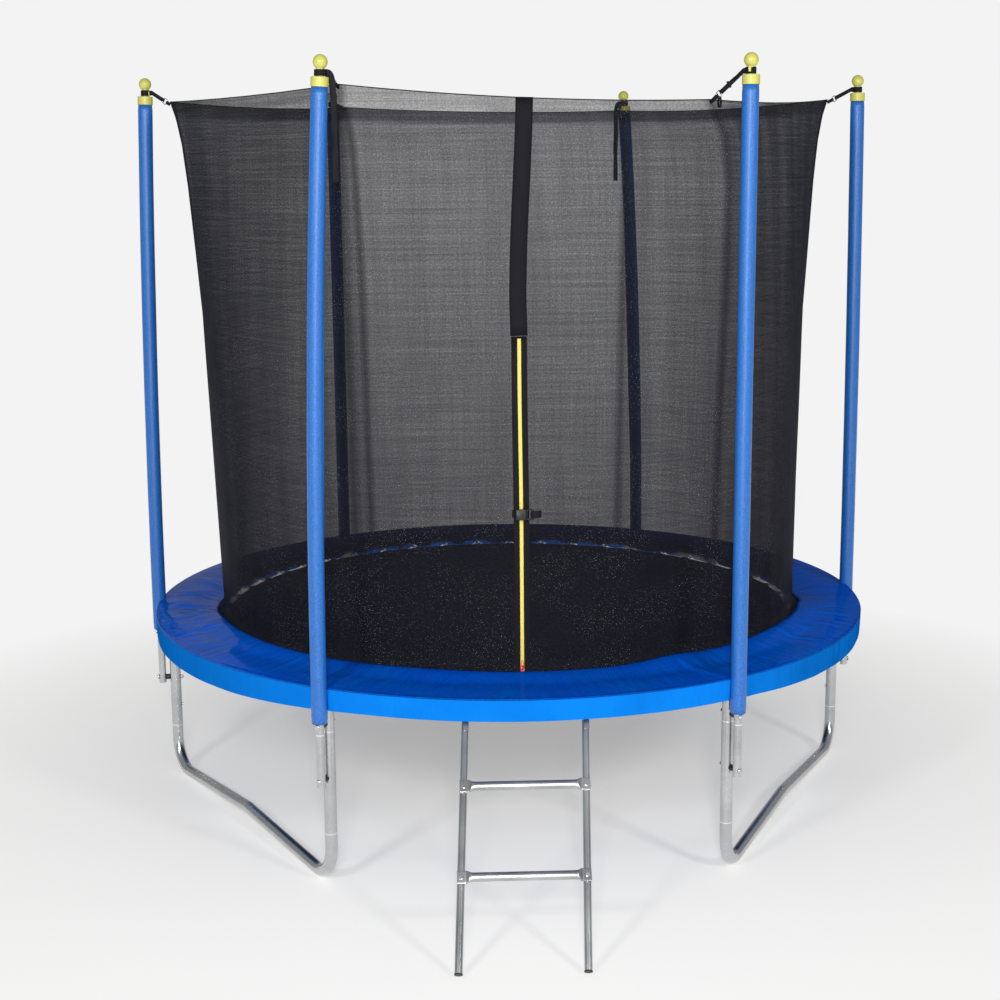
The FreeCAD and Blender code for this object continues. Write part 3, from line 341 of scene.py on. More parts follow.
def arc_through(first, middle, last, count):
    """Evenly spaced points on the circle through three points."""
    ab, ac = middle - first, last - first
    normal = ab.cross(ac)
    towards = normal.cross(ab) * ac.length_squared + ac.cross(normal) * ab.length_squared
    centre = first + towards / (2 * normal.length_squared)
    start = first - centre
    total = start.angle(last - centre)
    return [centre + Quaternion(normal, total * step / count) @ start for step in range(count + 1)]


def ride(piece, body, slot, *nodes):
    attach(piece, body)
    if nodes:
        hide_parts(*nodes)


def carry(piece, name, values):
    """Gives a piece one number at each point, for its finish to read."""
    piece.data.attributes.new(name, "FLOAT", "POINT").data.foreach_set("value", values)


# Poles and net, as the frame has them
def pole_lean(index):
    inward, along = POLE_PULLED_IN[index], POLE_PULLED_ALONG[index]
    angle = CORNER_ANGLES[index]
    direction = polar(-inward, angle) + polar(along, angle + 90)
    return direction.length, direction.normalized()


def pole_place(index, height):
    """Point on a pole's middle line at a height, and the line's direction there."""
    lean, direction = pole_lean(index)
    foot = polar(POLE_RADIUS, CORNER_ANGLES[index])
    if height <= POLE_BEND_START:
        return foot + UP * height, UP.copy()
    radius = ((POLE_REACH - POLE_BEND_START) ** 2 + lean ** 2) / (2 * lean)
    tilt = (height - POLE_BEND_START) / radius
    place = foot + direction * (radius * (1 - math.cos(tilt)))
    place.z = POLE_BEND_START + radius * math.sin(tilt)
    return place, UP * math.cos(tilt) + direction * math.sin(tilt)


def net_points(level):
    height, corner_radius, middle_radius = level
    rise = (height - NET_LEVELS[0][0]) / (NET_LEVELS[-1][0] - NET_LEVELS[0][0])
    corners = []
    middles = []
    for index in range(SIDES):
        seam = NET_SEAM_TURN[index]
        angle = index * STEP + seam + (NET_CORNER_TURN[index] - seam) * rise ** 12
        radius = corner_radius + NET_CORNER_PULL[index] * rise ** 3
        corners.append(polar(radius, angle, height))
        middles.append(polar(middle_radius, (index + 0.5) * STEP, height))
    return corners, middles


def span_radius(height):
    """How far the net stands from the middle of the mat, at the middle of a side."""
    for below, above in zip(NET_LEVELS, NET_LEVELS[1:]):
        if height <= above[0]:
            share = (height - below[0]) / (above[0] - below[0])
            return below[2] + (above[2] - below[2]) * share
    return NET_LEVELS[-1][2]


def hem_points():
    below, above = NET_LEVELS[-2], NET_LEVELS[-1]
    low, high = net_points(below)[0], net_points(above)[0]
    corners = []
    middles = []
    for index in range(SIDES):
        share = (NET_CORNER_HEIGHT[index] - below[0]) / (above[0] - below[0])
        corners.append(low[index].lerp(high[index], share))
    for index in range(SIDES):
        following = NET_CORNER_HEIGHT[(index + 1) % SIDES]
        height = (NET_CORNER_HEIGHT[index] + following) / 2 - NET_HEM_SAG[index]
        middles.append(polar(span_radius(height), (index + 0.5) * STEP, height))
    return corners, middles


# Materials
class Signal:
    """A number that changes over a surface; arithmetic on it adds Math nodes."""

    def __init__(self, look, socket):
        self.look = look
        self.socket = socket

    def __add__(self, other):
        return self.look.maths("ADD", self, other)

    def __sub__(self, other):
        return self.look.maths("SUBTRACT", self, other)

    def __rsub__(self, other):
        return self.look.maths("SUBTRACT", other, self)

    def __mul__(self, other):
        return self.look.maths("MULTIPLY", self, other)

    def __truediv__(self, other):
        return self.look.maths("DIVIDE", self, other)

    def __rtruediv__(self, other):
        return self.look.maths("DIVIDE", other, self)

    def __pow__(self, other):
        return self.look.maths("POWER", self, other)

    def __rpow__(self, other):
        return self.look.maths("POWER", other, self)

    __radd__ = __add__
    __rmul__ = __mul__

    def above(self, edge, soft):
        """0 below an edge and 1 above it, with a soft change between."""
        return self.look.maths("ADD", (self - edge) / soft, 0.5, clamp=True)

    def wave(self):
        return self.look.maths("SINE", self)

    def size(self):
        return self.look.maths("ABSOLUTE", self)

    def at_least(self, other):
        return self.look.maths("MAXIMUM", self, other)


class Graph:
    """Nodes of one tree, fed by numbers, colours or one another."""

    def __init__(self, tree):
        self.tree = tree

    def give(self, node, inputs):
        for key, value in inputs.items():
            socket = node.inputs[key]
            if isinstance(value, (Signal, bpy.types.NodeSocket)):
                self.tree.links.new(getattr(value, "socket", value), socket)
            elif socket.type == "RGBA" and len(value) == 3:
                socket.default_value = (*value, 1.0)
            else:
                socket.default_value = value

    def node(self, kind, settings=None, inputs=None):
        node = self.tree.nodes.new(kind)
        for key, value in (settings or {}).items():
            setattr(node, key, value)
        self.give(node, inputs or {})
        return node


class Look(Graph):
    """A material whose shader is fed from nodes."""

    def __init__(self, name, **fixed):
        self.material = bpy.data.materials.new(name)
        self.material.use_nodes = True
        super().__init__(self.material.node_tree)
        self.shader = self.tree.nodes["Principled BSDF"]
        self.give(self.shader, fixed)

    def maths(self, operation, first, second=None, clamp=False):
        inputs = {0: first}
        if second is not None:
            inputs[1] = second
        node = self.node("ShaderNodeMath", {"operation": operation, "use_clamp": clamp}, inputs)
        return Signal(self, node.outputs[0])

    def place(self, stretch=(1.0, 1.0, 1.0), uv=False):
        """Object coordinates, or the piece's own map, stretched along each axis."""
        coordinates = self.node("ShaderNodeTexCoord").outputs["UV" if uv else "Object"]
        mapping = self.node("ShaderNodeMapping", {}, {"Vector": coordinates, "Scale": stretch})
        return mapping.outputs[0]

    def axis(self, vector, which):
        return Signal(self, self.node("ShaderNodeSeparateXYZ", {}, {0: vector}).outputs[which])

    def cloud(self, vector, scale, detail=3.0, rough=0.5):
        inputs = {"Vector": vector, "Scale": scale, "Detail": detail, "Roughness": rough}
        return Signal(self, self.node("ShaderNodeTexNoise", {}, inputs).outputs[0])

    def cells(self, vector, scale):
        node = self.node("ShaderNodeTexVoronoi", {}, {"Vector": vector, "Scale": scale})
        return Signal(self, node.outputs["Distance"])

    def cell_value(self, vector, scale):
        node = self.node("ShaderNodeTexVoronoi", {}, {"Vector": vector, "Scale": scale})
        return self.axis(node.outputs["Color"], 0)

    def painted(self, name):
        """Value that the piece itself carries under a name."""
        node = self.node("ShaderNodeAttribute", {"attribute_name": name})
        return Signal(self, node.outputs["Fac"])

    def blend(self, factor, first, second):
        inputs = {0: factor, 6: first, 7: second}
        node = self.node("ShaderNodeMix", {"data_type": "RGBA"}, inputs)
        return node.outputs[2]

    def relief(self, height, depth, strength=1.0):
        inputs = {"Height": height, "Distance": depth, "Strength": strength}
        self.give(self.shader, {"Normal": self.node("ShaderNodeBump", {}, inputs).outputs[0]})

    def show(self, **signals):
        self.give(self.shader, {key.replace("_", " "): value for key, value in signals.items()})
        return self.material


def darker(colour, share):
    return tuple(channel * share for channel in colour[:3])


LOOKS = {}


def plain_look(name, cloud, first, second, grain, gloss, worn=False, **fixed):
    """A finish between two colours; cloud is (scale, detail), grain (scale, strength) and
    gloss (change, least) of the roughness."""
    look = Look(name, **fixed)
    here = look.place()
    broad = look.cloud(here, *cloud)
    tone = look.blend(broad.above(0.62, 0.1) if worn else broad, first, second)
    if grain:
        look.relief(look.cloud(here, grain[0], 2.0), 0.0001, grain[1])
    LOOKS[name] = look.show(Base_Color=tone, Roughness=broad * gloss[0] + gloss[1])


def make_looks(colours):
    """All finishes, once, from the colours in the panel."""
    LOOKS.clear()

    look = Look("galvanised_tube", Metallic=1.0)
    here = look.place()
    spangle = look.cell_value(here, 140.0)
    patches = look.cloud(here, 7.0, 4.0)
    fine = look.cloud(here, 420.0, 2.0)
    steel = tuple(colours.steel)
    tone = look.blend(patches.above(0.5, 0.5), darker(steel, 0.74), steel)
    tone = look.blend(spangle * 0.22, tone, darker(steel, 1.25))
    height = look.axis(here, 2)
    # Painted highlight: thin white lines round the tubes at the two joint heights, standing for the
    # glint on the rims where the tubes meet
    joint_glint = 1 - (height + 0.4360).size().above(0.0019, 0.0008)
    joint_glint = joint_glint + 1 - (height + 0.1140).size().above(0.0019, 0.0008)
    tone = look.blend(joint_glint * 0.8, tone, (1.0, 1.0, 1.0))
    look.relief(fine * 0.6 + spangle * 0.25, 0.0002, 0.3)
    rough = patches * 0.14 + spangle * 0.05 + 0.15
    LOOKS["galvanised_tube"] = look.show(Base_Color=tone, Roughness=rough)

    look = Look("ladder_tube", Metallic=1.0)
    here = look.place((1.0, 1.0, 0.3))
    patches = look.cloud(here, 9.0, 3.0)
    fine = look.cloud(here, 300.0, 2.0)
    tone = look.blend(patches.above(0.5, 0.5), darker(steel, 0.66), darker(steel, 1.0))
    look.relief(fine, 0.0001, 0.25)
    LOOKS["ladder_tube"] = look.show(Base_Color=tone, Roughness=patches * 0.12 + 0.24)

    look = Look("blue_foam", **{"Coat Weight": 0.25, "Coat Roughness": 0.30})
    here = look.place()
    grain = look.cells(here, 620.0)
    mottle = look.cloud(here, 260.0, 3.0)
    broad = look.cloud(here, 5.0, 2.0)
    foam = tuple(colours.foam)
    tone = look.blend(mottle.above(0.52, 0.3), darker(foam, 0.66), darker(foam, 1.2))
    tone = look.blend(broad * 0.4, tone, darker(foam, 0.85))
    look.relief(grain * 0.7 + mottle * 0.9, 0.0008, 0.55)
    LOOKS["blue_foam"] = look.show(Base_Color=tone, Roughness=mottle * 0.2 + 0.28)

    lime, yellow = tuple(colours.caps), tuple(colours.zip)
    plain_look("zinc_hardware", (60.0, 3.0), (0.46, 0.46, 0.47), (0.80, 0.80, 0.82),
               (900.0, 0.4), (0.2, 0.18), Metallic=1.0)
    plain_look("lime_plastic", (30.0, 2.0), darker(lime, 0.88), darker(lime, 1.06),
               (800.0, 0.3), (0.15, 0.28), **{"Coat Weight": 0.15})
    plain_look("black_plastic", (50.0, 3.0), (0.007, 0.007, 0.008), (0.014, 0.014, 0.015),
               (1500.0, 0.4), (0.2, 0.35))
    plain_look("yellow_plastic", (60.0, 2.0), darker(yellow, 0.9), yellow,
               (900.0, 0.3), (0.15, 0.3))
    plain_look("red_slider", (120.0, 3.0), (0.55, 0.02, 0.015), (0.5, 0.35, 0.28),
               (900.0, 0.3), (0.2, 0.25), worn=True, **{"Coat Weight": 0.3})
    plain_look("yarn", (300.0, 2.0), (0.25, 0.25, 0.26), (0.45, 0.45, 0.47), None, (0.2, 0.5))

    LOOKS["mat_weave"] = mat_look()
    LOOKS["pad_cover"] = pad_look(colours)
    LOOKS["black_webbing"] = webbing_look(
        "black_webbing", (0.006, 0.006, 0.008), (0.018, 0.018, 0.022))
    LOOKS["door_band"] = webbing_look("door_band", (0.004, 0.004, 0.006), (0.011, 0.011, 0.015))
    LOOKS["yellow_zip"] = webbing_look("yellow_zip", darker(yellow, 0.72), yellow)
    LOOKS["net_mesh"] = net_look(colours)


def weave(look, vector, across, along):
    """Over-and-under weave, from 0 in the gaps to 1 on top of a thread."""
    x = look.axis(vector, 0) * (2 * math.pi / across)
    y = look.axis(vector, 1) * (2 * math.pi / along)
    warp = x.wave() * (y * 0.5).wave()
    weft = y.wave() * (x * 0.5).wave()
    return warp * 0.25 + weft * 0.25 + 0.5


def mat_look():
    look = Look("mat_weave", **{"Specular IOR Level": 0.12})
    here = look.place()
    threads = weave(look, here, 0.0030, 0.0026)
    dust = look.cells(here, 90.0)
    broad = look.cloud(here, 3.0, 4.0, 0.6)
    fleck = look.cloud(here, 240.0, 2.0).above(0.72, 0.04)
    tone = look.blend(threads, (0.0035, 0.0036, 0.0045), (0.016, 0.0165, 0.020))
    tone = look.blend(broad.above(0.6, 0.5) * 0.35, tone, (0.022, 0.023, 0.027))
    tone = look.blend(fleck * 0.5 * dust, tone, (0.10, 0.10, 0.11))
    look.relief(threads, 0.0007, 0.6)
    return look.show(Base_Color=tone, Roughness=broad * 0.2 + 0.42)


def pad_look(colours):
    look = Look("pad_cover", **{"Coat Roughness": 0.16, "Specular IOR Level": 0.0})
    here = look.place()
    cloth = look.place(uv=True)
    blue = tuple(colours.pad)
    broad = look.cloud(here, 4.2, 4.0, 0.55)
    creases = look.cloud(look.place((26.0, 5.0, 1.0), uv=True), 1.0, 5.0, 0.6)
    fine = look.cloud(look.place((90.0, 30.0, 1.0), uv=True), 1.0, 3.0, 0.6)
    grain = look.cells(here, 900.0)
    right = look.axis(here, 0).above(0.70, 0.6)
    left = 1 - look.axis(here, 0).above(-0.75, 0.6)
    edge = look.axis(cloth, 1)
    skirt = edge.above(0.2150, 0.003)
    # Painted light at the left and right of the pad: beside lightens the top there as a painted
    # reflection and darkens the skirt there as painted shade
    beside = look.axis(here, 0).size().above(0.72, 0.4)
    red, green, pure = blue
    # The top is painted darker than the skirt, most of all in front: painted shade for the weaker
    # light that falls on its upward face
    shaded_top_front = (red * 0.2, green * 0.36, pure * 0.68)
    top = look.blend(beside, shaded_top_front, (red * 0.2, green * 0.56, pure * 0.98))
    # The skirt is painted darker at its sides: painted shade where the light falls off
    hanging = look.blend(beside, blue, darker(blue, 0.80))
    tone = look.blend(skirt, top, hanging)
    tone = look.blend(broad.above(0.55, 0.3) * 0.40, tone, darker(blue, 0.60))
    # Painted shade following the crease pattern on the right: the blue is darkened where the
    # creases rise
    tone = look.blend(creases.above(0.60, 0.2) * right * 0.6, tone, darker(blue, 0.40))
    tone = look.blend(look.painted("lining"), tone, (0.42, 0.42, 0.41))
    hem = (edge - 0.300).size().above(0.0012, 0.0008)
    bead = 1 - (edge - 0.2135).size().above(0.0032, 0.0010)
    rough = (creases * 2.2 + fine * 0.5) * (1 - skirt * 0.6)
    look.relief(rough + grain * 0.03 + hem * 0.25 + bead * 0.4, 0.0048, 0.9)
    return look.show(
        Base_Color=tone,
        Roughness=broad * 0.16 + fine * 0.08 + 0.40,
        Coat_Weight=(creases * 0.08 + left * 0.46 + right * 0.07) * (1 - skirt),
    )


def webbing_look(name, dark, light):
    look = Look(name, **{"Specular IOR Level": 0.10})
    cloth = look.place(uv=True)
    threads = weave(look, cloth, 0.0024, 0.0018)
    broad = look.cloud(look.place(), 40.0, 3.0)
    tone = look.blend(threads, dark, light)
    tone = look.blend(broad * 0.3, tone, darker(light, 0.8))
    look.relief(threads, 0.0006, 0.7)
    return look.show(Base_Color=tone, Roughness=broad * 0.2 + 0.5)


def net_look(colours):
    """Knitted mesh: thread that lets less light through the more it is seen from the side."""
    look = Look("net_mesh", **{"Specular IOR Level": 0.03})
    cloth = look.place(uv=True)
    height = look.axis(cloth, 1)
    threads = weave(look, cloth, 0.0052, 0.0044)
    bands = look.cloud(look.place((2.0, 160.0, 1.0), uv=True), 1.0, 4.0, 0.65)
    ribs = look.cloud(look.place((220.0, 3.0, 1.0), uv=True), 1.0, 3.0, 0.6)
    drape = look.cloud(look.place((9.0, 0.7, 1.0), uv=True), 1.0, 3.0, 0.6)
    speck = look.cloud(cloth, 190.0, 2.0, 0.6)
    hem = look.painted("hem")
    seam = look.painted("seam")
    back = look.axis(look.place(), 1).above(0.2, 0.6)
    facing = Signal(look, look.node("ShaderNodeLayerWeight", {}, {"Blend": 0.5}).outputs["Facing"])
    slant = (1 - facing).at_least(0.10)
    low = look.maths("SUBTRACT", 1.0, height / 1.45, clamp=True)
    foot = 1 - height.above(0.046, 0.005)
    density = low * 0.42 + hem * (back * 0.85 + 0.20) + seam * 0.9 + foot * 1.5 + 0.98
    density = density + (bands - 0.5) * 1.30 + (ribs - 0.5) * 0.60 + (speck - 0.5) * 1.7
    density = density + (threads - 0.5) * 0.20 + (drape - 0.5) * 0.50
    clear = 0.40 ** (density / slant ** 0.74)
    clusters = look.cloud(cloth, 6.0, 3.0).above(0.48, 0.25)
    glint = look.cloud(cloth, 330.0, 1.0).above(0.695, 0.02) * clusters
    thread = tuple(colours.net)
    tone = look.blend(speck.above(0.5, 0.4), darker(thread, 0.6), darker(thread, 1.5))
    tone = look.blend(glint * 0.7, tone, (0.42, 0.42, 0.45))
    look.relief(threads + bands * 0.5, 0.0006, 0.4)
    return look.show(Base_Color=tone, Roughness=speck * 0.2 + 0.55, Alpha=1 - clear)


# Settings
class TrampolineSizes(bpy.types.PropertyGroup):
    net_fold: FloatProperty(
        name="Net fold", description="How far the net's folds stand out",
        default=0.007, min=0.0, max=0.02, unit="LENGTH")
    pad_wrinkle: FloatProperty(
        name="Pad wrinkle", description="Height of the creases in the pad's cover",
        default=0.0055, min=0.0, max=0.01, unit="LENGTH")
    pad_cloth: FloatProperty(
        name="Pad cloth", description="Thickness of the hanging skirt of the pad",
        default=0.0012, min=0.0005, max=0.003, unit="LENGTH")
    foam_radius: FloatProperty(
        name="Foam radius", description="Radius of the sleeves round the poles",
        default=0.024, min=0.018, max=0.026, unit="LENGTH")
    spring_turns: IntProperty(
        name="Spring turns", description="Turns of wire in each spring",
        default=34, min=10, max=40)
    spring_wire: FloatProperty(
        name="Spring wire", description="Thickness of the springs' wire",
        default=0.003, min=0.002, max=0.004, unit="LENGTH")
    tooth_pitch: FloatProperty(
        name="Zip pitch", description="Distance from one tooth of the zip to the next",
        default=0.0032, min=0.002, max=0.006, unit="LENGTH")
    rung_radius: FloatProperty(
        name="Rung radius", description="Radius of the ladder's rungs",
        default=0.0127, min=0.010, max=0.016, unit="LENGTH")


class TrampolineColours(bpy.types.PropertyGroup):
    steel: FloatVectorProperty(
        name="Steel", description="Galvanised tubes", subtype="COLOR",
        size=3, default=(0.60, 0.615, 0.62), min=0.0, max=1.0)
    foam: FloatVectorProperty(
        name="Foam", description="Sleeves round the poles", subtype="COLOR",
        size=3, default=(0.016, 0.155, 0.54), min=0.0, max=1.0)
    caps: FloatVectorProperty(
        name="Caps", description="Caps on the poles", subtype="COLOR",
        size=3, default=(0.60, 0.58, 0.12), min=0.0, max=1.0)
    pad: FloatVectorProperty(
        name="Pad", description="Cover of the spring pad", subtype="COLOR",
        size=3, default=(0.004, 0.20, 0.75), min=0.0, max=1.0)
    zip: FloatVectorProperty(
        name="Zip", description="Zip of the door", subtype="COLOR",
        size=3, default=(0.95, 0.80, 0.18), min=0.0, max=1.0)
    net: FloatVectorProperty(
        name="Net", description="Thread of the safety net", subtype="COLOR",
        size=3, default=(0.0088, 0.0090, 0.0140), min=0.0, max=1.0)


def sizes():
    return bpy.context.scene.trampoline_sizes


# Builders
def paint_nodes(names, look):
    for name in names:
        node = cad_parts[name]
        node.data.materials.clear()
        node.data.materials.append(LOOKS[look])


def numbered(prefix, count):
    return [prefix + str(index + 1) for index in range(count)]


def make_hardware():
    tubes = numbered("top_rail_", 6) + numbered("leg_upright_", 6)
    tubes += numbered("leg_base_", 3) + numbered("pole_", 6)
    paint_nodes(tubes, "galvanised_tube")
    paint_nodes(["ladder_rail_left", "ladder_rail_right"], "ladder_tube")
    paint_nodes(["pole_bolts", "pole_nuts", "leg_screws", "ladder_bolts"], "zinc_hardware")
    paint_nodes(["pole_spacers", "ladder_feet"], "black_plastic")
    paint_nodes(numbered("pole_cap_", 6), "lime_plastic")


def make_tails():
    for order, route in enumerate(TAIL_ROUTES):
        curve = bpy.data.curves.new("tail_line", "CURVE")
        curve.dimensions = "3D"
        curve.resolution_u = 8
        spline = curve.splines.new("NURBS")
        spline.points.add(len(route) - 1)
        for point, place in zip(spline.points, route):
            point.co = (*place, 1.0)
        spline.order_u = 3
        spline.use_endpoint_u = True
        line = bpy.data.objects.new("tail_line", curve)
        bpy.context.scene.collection.objects.link(line)
        bpy.context.view_layer.update()
        shaped = line.evaluated_get(bpy.context.evaluated_depsgraph_get())
        mesh = bpy.data.meshes.new_from_object(shaped)
        path = [vertex.co.copy() for vertex in mesh.vertices]
        bpy.data.objects.remove(line)
        build = Build()
        sides = []
        for index, place in enumerate(path):
            run = path[min(index + 1, len(path) - 1)] - path[max(index - 1, 0)]
            down = smooth_step(1.76 - place.z, 0.0, 0.05)
            sway = 24.0 * down * math.sin(place.z * 41.0 + order * 2.0)
            face = polar(1.0, TAIL_FACES[order] + sway)
            sides.append(face.cross(run.normalized()).normalized())
        build.ribbon(path, sides, WEBBING_WIDTH, 0.0020)
        piece = build.piece("strap_tail_%d_webbing" % (order + 1), LOOKS["black_webbing"])
        ride(piece, "frame", "black_webbing", "strap_tail_%d" % (order + 1))


def make_foam():
    radius = sizes().foam_radius
    low, high = FOAM_ENDS
    heights = [low + (high - low) * level / FOAM_LEVELS for level in range(FOAM_LEVELS + 1)]
    for index in range(SIDES):
        rows = []
        uvs = []
        for order, height in enumerate(heights + [high, low]):
            centre, along = pole_place(index, height)
            across = polar(1.0, CORNER_ANGLES[index])
            across = (across - along * across.dot(along)).normalized()
            rise = along.cross(across)
            inside = order > FOAM_LEVELS
            reach = FOAM_BORE if inside else radius - (0.0012 if order in (0, FOAM_LEVELS) else 0.0)
            row = []
            for turn in map(math.radians, around(32)):
                out = across * math.cos(turn) + rise * math.sin(turn)
                place = Vector((out.x * 1.3, out.y * 1.3, height * 5 + index * 9))
                bump = 0.0 if inside else noise.noise(place) * 0.0004
                row.append(centre + out * (reach + bump))
                uvs.append((turn * (FOAM_BORE if inside else radius), height))
            rows.append(row)
        build = Build()
        build.grid(rows, close_rows=True, close_columns=True, uvs=uvs)
        name = "foam_sleeve_%d" % (index + 1)
        piece = build.piece(name + "_cover", LOOKS["blue_foam"], wrap=2 * math.pi * radius)
        ride(piece, "frame", "blue_foam", name)


def pad_pinch(angle):
    """How far the pad is pushed in where it passes behind a pole, and how near that is."""
    nearest = min(abs((angle - corner + 180) % 360 - 180) for corner in CORNER_ANGLES)
    distance = math.radians(nearest) * PAD_EDGE
    reach = 0.0256
    depth = 0.0
    if distance < reach:
        depth = PAD_EDGE - (POLE_RADIUS - math.sqrt(reach ** 2 - distance ** 2))
    return max(depth, 0.0), distance


def pad_profile(cloth):
    """Sections of the pad as (radius, height): top, outside, inside of the skirt, underside."""
    top = []
    for step in range(17):
        share = step / 16
        radius = PAD_INNER + (PAD_SHOULDER - PAD_INNER) * share
        top.append((radius, 0.0245 + 0.0060 * share + 0.0105 * math.sin(math.pi * share)))
    outside = [(1.2350, 0.0310), (1.2366, 0.0304), (1.2374, 0.0290), (PAD_EDGE, 0.0270)]
    for step in range(1, 9):
        share = step / 8
        swell = 0.0006 * math.sin(math.pi * share)
        outside.append((PAD_EDGE + swell, 0.0270 - 0.0640 * share))
    outside += [(1.2368, -0.0378), (1.2362, -0.0380), (PAD_EDGE - cloth, -0.0376)]
    inside = []
    for step in range(1, 7):
        inside.append((1.2358 - cloth * 0.5, -0.0370 + 0.0560 * step / 6))
    under = [(1.2320, 0.0198)]
    under += [(radius, PAD_UNDERSIDE) for radius in (1.2250, 1.18, 1.13, 1.08, 1.029)]
    under += [(1.0262, 0.0198), (1.0256, 0.0215), (1.0256, 0.0232)]
    return top, outside, inside, under


def pad_lift(angle):
    """The inner edge of the pad is pushed up in front, where it leans on the net."""
    front = smooth_step(-math.sin(math.radians(angle)), 0.03, 0.33) * 0.025
    return (front + hump(angle, 296.0, 7.0) * 0.012 + hump(angle, 322.0, 16.0) * 0.006
            + hump(angle, 252.0, 10.0) * 0.004)


def pad_gape(angle):
    """Where the inner edge at the back curls up and shows its light lining."""
    return bumps(angle, ((156.0, 1.3), (126.0, 1.4), (57.5, 1.6), (41.0, 4.4), (34.0, 1.2)))


def bumps(angle, places):
    """Sum of broad humps round the rim, each from its angle and its width."""
    return sum(hump(angle, middle, wide, 4) for middle, wide in places)


def rim_open(angle):
    """Where the foot of the net at the back stands off the mat and the pad shows under it."""
    return min(1.0, bumps(angle, (
        (156.0, 1.6), (150.0, 2.0), (142.5, 1.2), (126.0, 1.5), (119.3, 1.2), (114.4, 1.2),
        (110.0, 1.5), (102.4, 2.5), (94.0, 2.8), (77.0, 2.8), (68.0, 1.8), (60.5, 2.6),
        (41.0, 4.6), (34.0, 1.4), (22.0, 1.4))))


def rim_noise(angle, turns, height):
    """Noise that runs round the rim without a break."""
    return noise.noise(polar(turns, angle, height))


def pad_rim(angle, radius, on_top, curls):
    """How far the inner part of the pad moves outwards and upwards."""
    inner = 1 - smooth_step(radius, PAD_INNER, 1.13)
    wavy, fine = rim_noise(angle, 5, 3.1), rim_noise(angle, 17, 8.7)
    behind = smooth_step(math.sin(math.radians(angle)), -0.12, 0.12)
    over_spring = hump(angle % SPRING_STEP, SPRING_STEP / 2, 0.75)
    droop = over_spring * 0.0010 - 0.0110 if on_top else over_spring * 0.0140 - 0.0300
    up = (pad_lift(angle) + wavy * 0.0024 + fine * 0.0014 + droop * behind) * inner
    if curls:
        up += 0.0080 * pad_gape(angle)
    return (wavy * 0.007 + fine * 0.004) * inner, up


def pad_creases(angle, radius, wrinkle):
    """Height of the creases, the fold in front and the seams on top of the pad."""
    left, right = hump(angle, 188.0, 26.0), hump(angle, 335.0, 30.0)
    body = math.sin(math.pi * min(max((radius - 1.03) / 0.2, 0.0), 1.0))
    ridge = 1 - abs(rim_noise(angle, 13, radius * 4)) * 2
    crossed = noise.noise(Vector((angle * 0.11, radius * 17, 2.0)))
    small = 1 - abs(noise.noise(Vector((angle * 0.42, radius * 34, 6.0)))) * 2
    height = wrinkle * (0.6 + left * 2.0 + right * 0.9) * (ridge ** 3 * 0.6 + crossed * 0.5)
    height += 0.0028 * (left + right * 0.5) * small ** 3
    height += 0.006 * hump(angle - (radius - 1.13) * 14, 296.8, 0.55)
    past_seam = (angle + 4.5) % STEP
    height -= 0.0016 * (hump(past_seam, 0.0, 0.18) + hump(past_seam, STEP, 0.18))
    return height * body


def pad_skirt(angle, height, distance, outside):
    """How far the hanging skirt moves outwards and upwards; distance is from the next pole."""
    hang = 1 - smooth_step(height, -0.036, 0.028)
    out = (rim_noise(angle, 9, 5.0) * 0.0022 - 0.0012) * hang
    if outside:
        out += noise.noise(Vector((angle * 0.9, height * 30, 1.0))) * 0.0005
    out += hump(distance, 0.045, 0.016) * 0.0016 * (0.3 + hang)
    longer = hump(angle, 214.0, 23.0, 4) * 0.012 + hump(angle, 322.0, 15.0, 4) * 0.008
    return out, -longer * hang


def make_pad():
    values = sizes()
    sections = pad_profile(values.pad_cloth)
    profile = sum(sections, [])
    outside = len(sections[0])
    inside = outside + len(sections[1])
    under = inside + len(sections[2])
    last = len(profile) - 1
    rows = []
    uvs = []
    lining = []
    run = 0.0
    for order, (radius, height) in enumerate(profile):
        run += math.dist((radius, height), profile[max(order - 1, 0)])
        on_top = order < outside
        row = []
        for column in range(PAD_COLUMNS):
            angle = 360.0 * column / PAD_COLUMNS
            depth, distance = pad_pinch(angle)
            share = smooth_step(radius, 1.185, 1.233)
            out, up = 0.0, 0.0
            if on_top or order >= under:
                out, up = pad_rim(angle, radius, on_top, order in (0, last - 1, last))
            if on_top:
                up += pad_creases(angle, radius, values.pad_wrinkle)
            elif order < under + 4:
                hung, dropped = pad_skirt(angle, height, distance, order < inside)
                out, up = out + hung, up + dropped
            reach = min(max(radius + out, 1.0125), 1.2392) - depth * share
            if share and depth and order >= outside - 1:
                reach = max(reach, 1.2202 if order >= inside - 1 else 1.2212)
            row.append(polar(reach, angle, height + up))
            uvs.append((math.radians(angle) * PAD_EDGE, run))
            bare = order == 0 or order >= last - 2
            lining.append(min(pad_gape(angle), 1.0) if bare else 0.0)
        rows.append(row)
    build = Build()
    build.grid(rows, close_rows=True, close_columns=True, uvs=uvs)
    build.faces = [tuple(reversed(face)) for face in build.faces]
    piece = build.piece("spring_pad_cover", LOOKS["pad_cover"], wrap=2 * math.pi * PAD_EDGE)
    carry(piece, "lining", lining)
    ride(piece, "frame", "pad_cover", "spring_pad")

    ties = Build()
    for angle in (30.0, 90.0, 150.0, 210.0, 246.0, 294.0, 330.0):
        centre = polar(RING_RADIUS, angle, RING_HEIGHT)
        path = arc(centre, polar(1.0, angle), UP, 0.0203, around(24))
        ties.ribbon(path, polar(1.0, angle + 90), 0.014, 0.0016, closed=True)
    piece = ties.piece("pad_tie_webbing", LOOKS["black_webbing"])
    ride(piece, "frame", "black_webbing", "pad_ties")


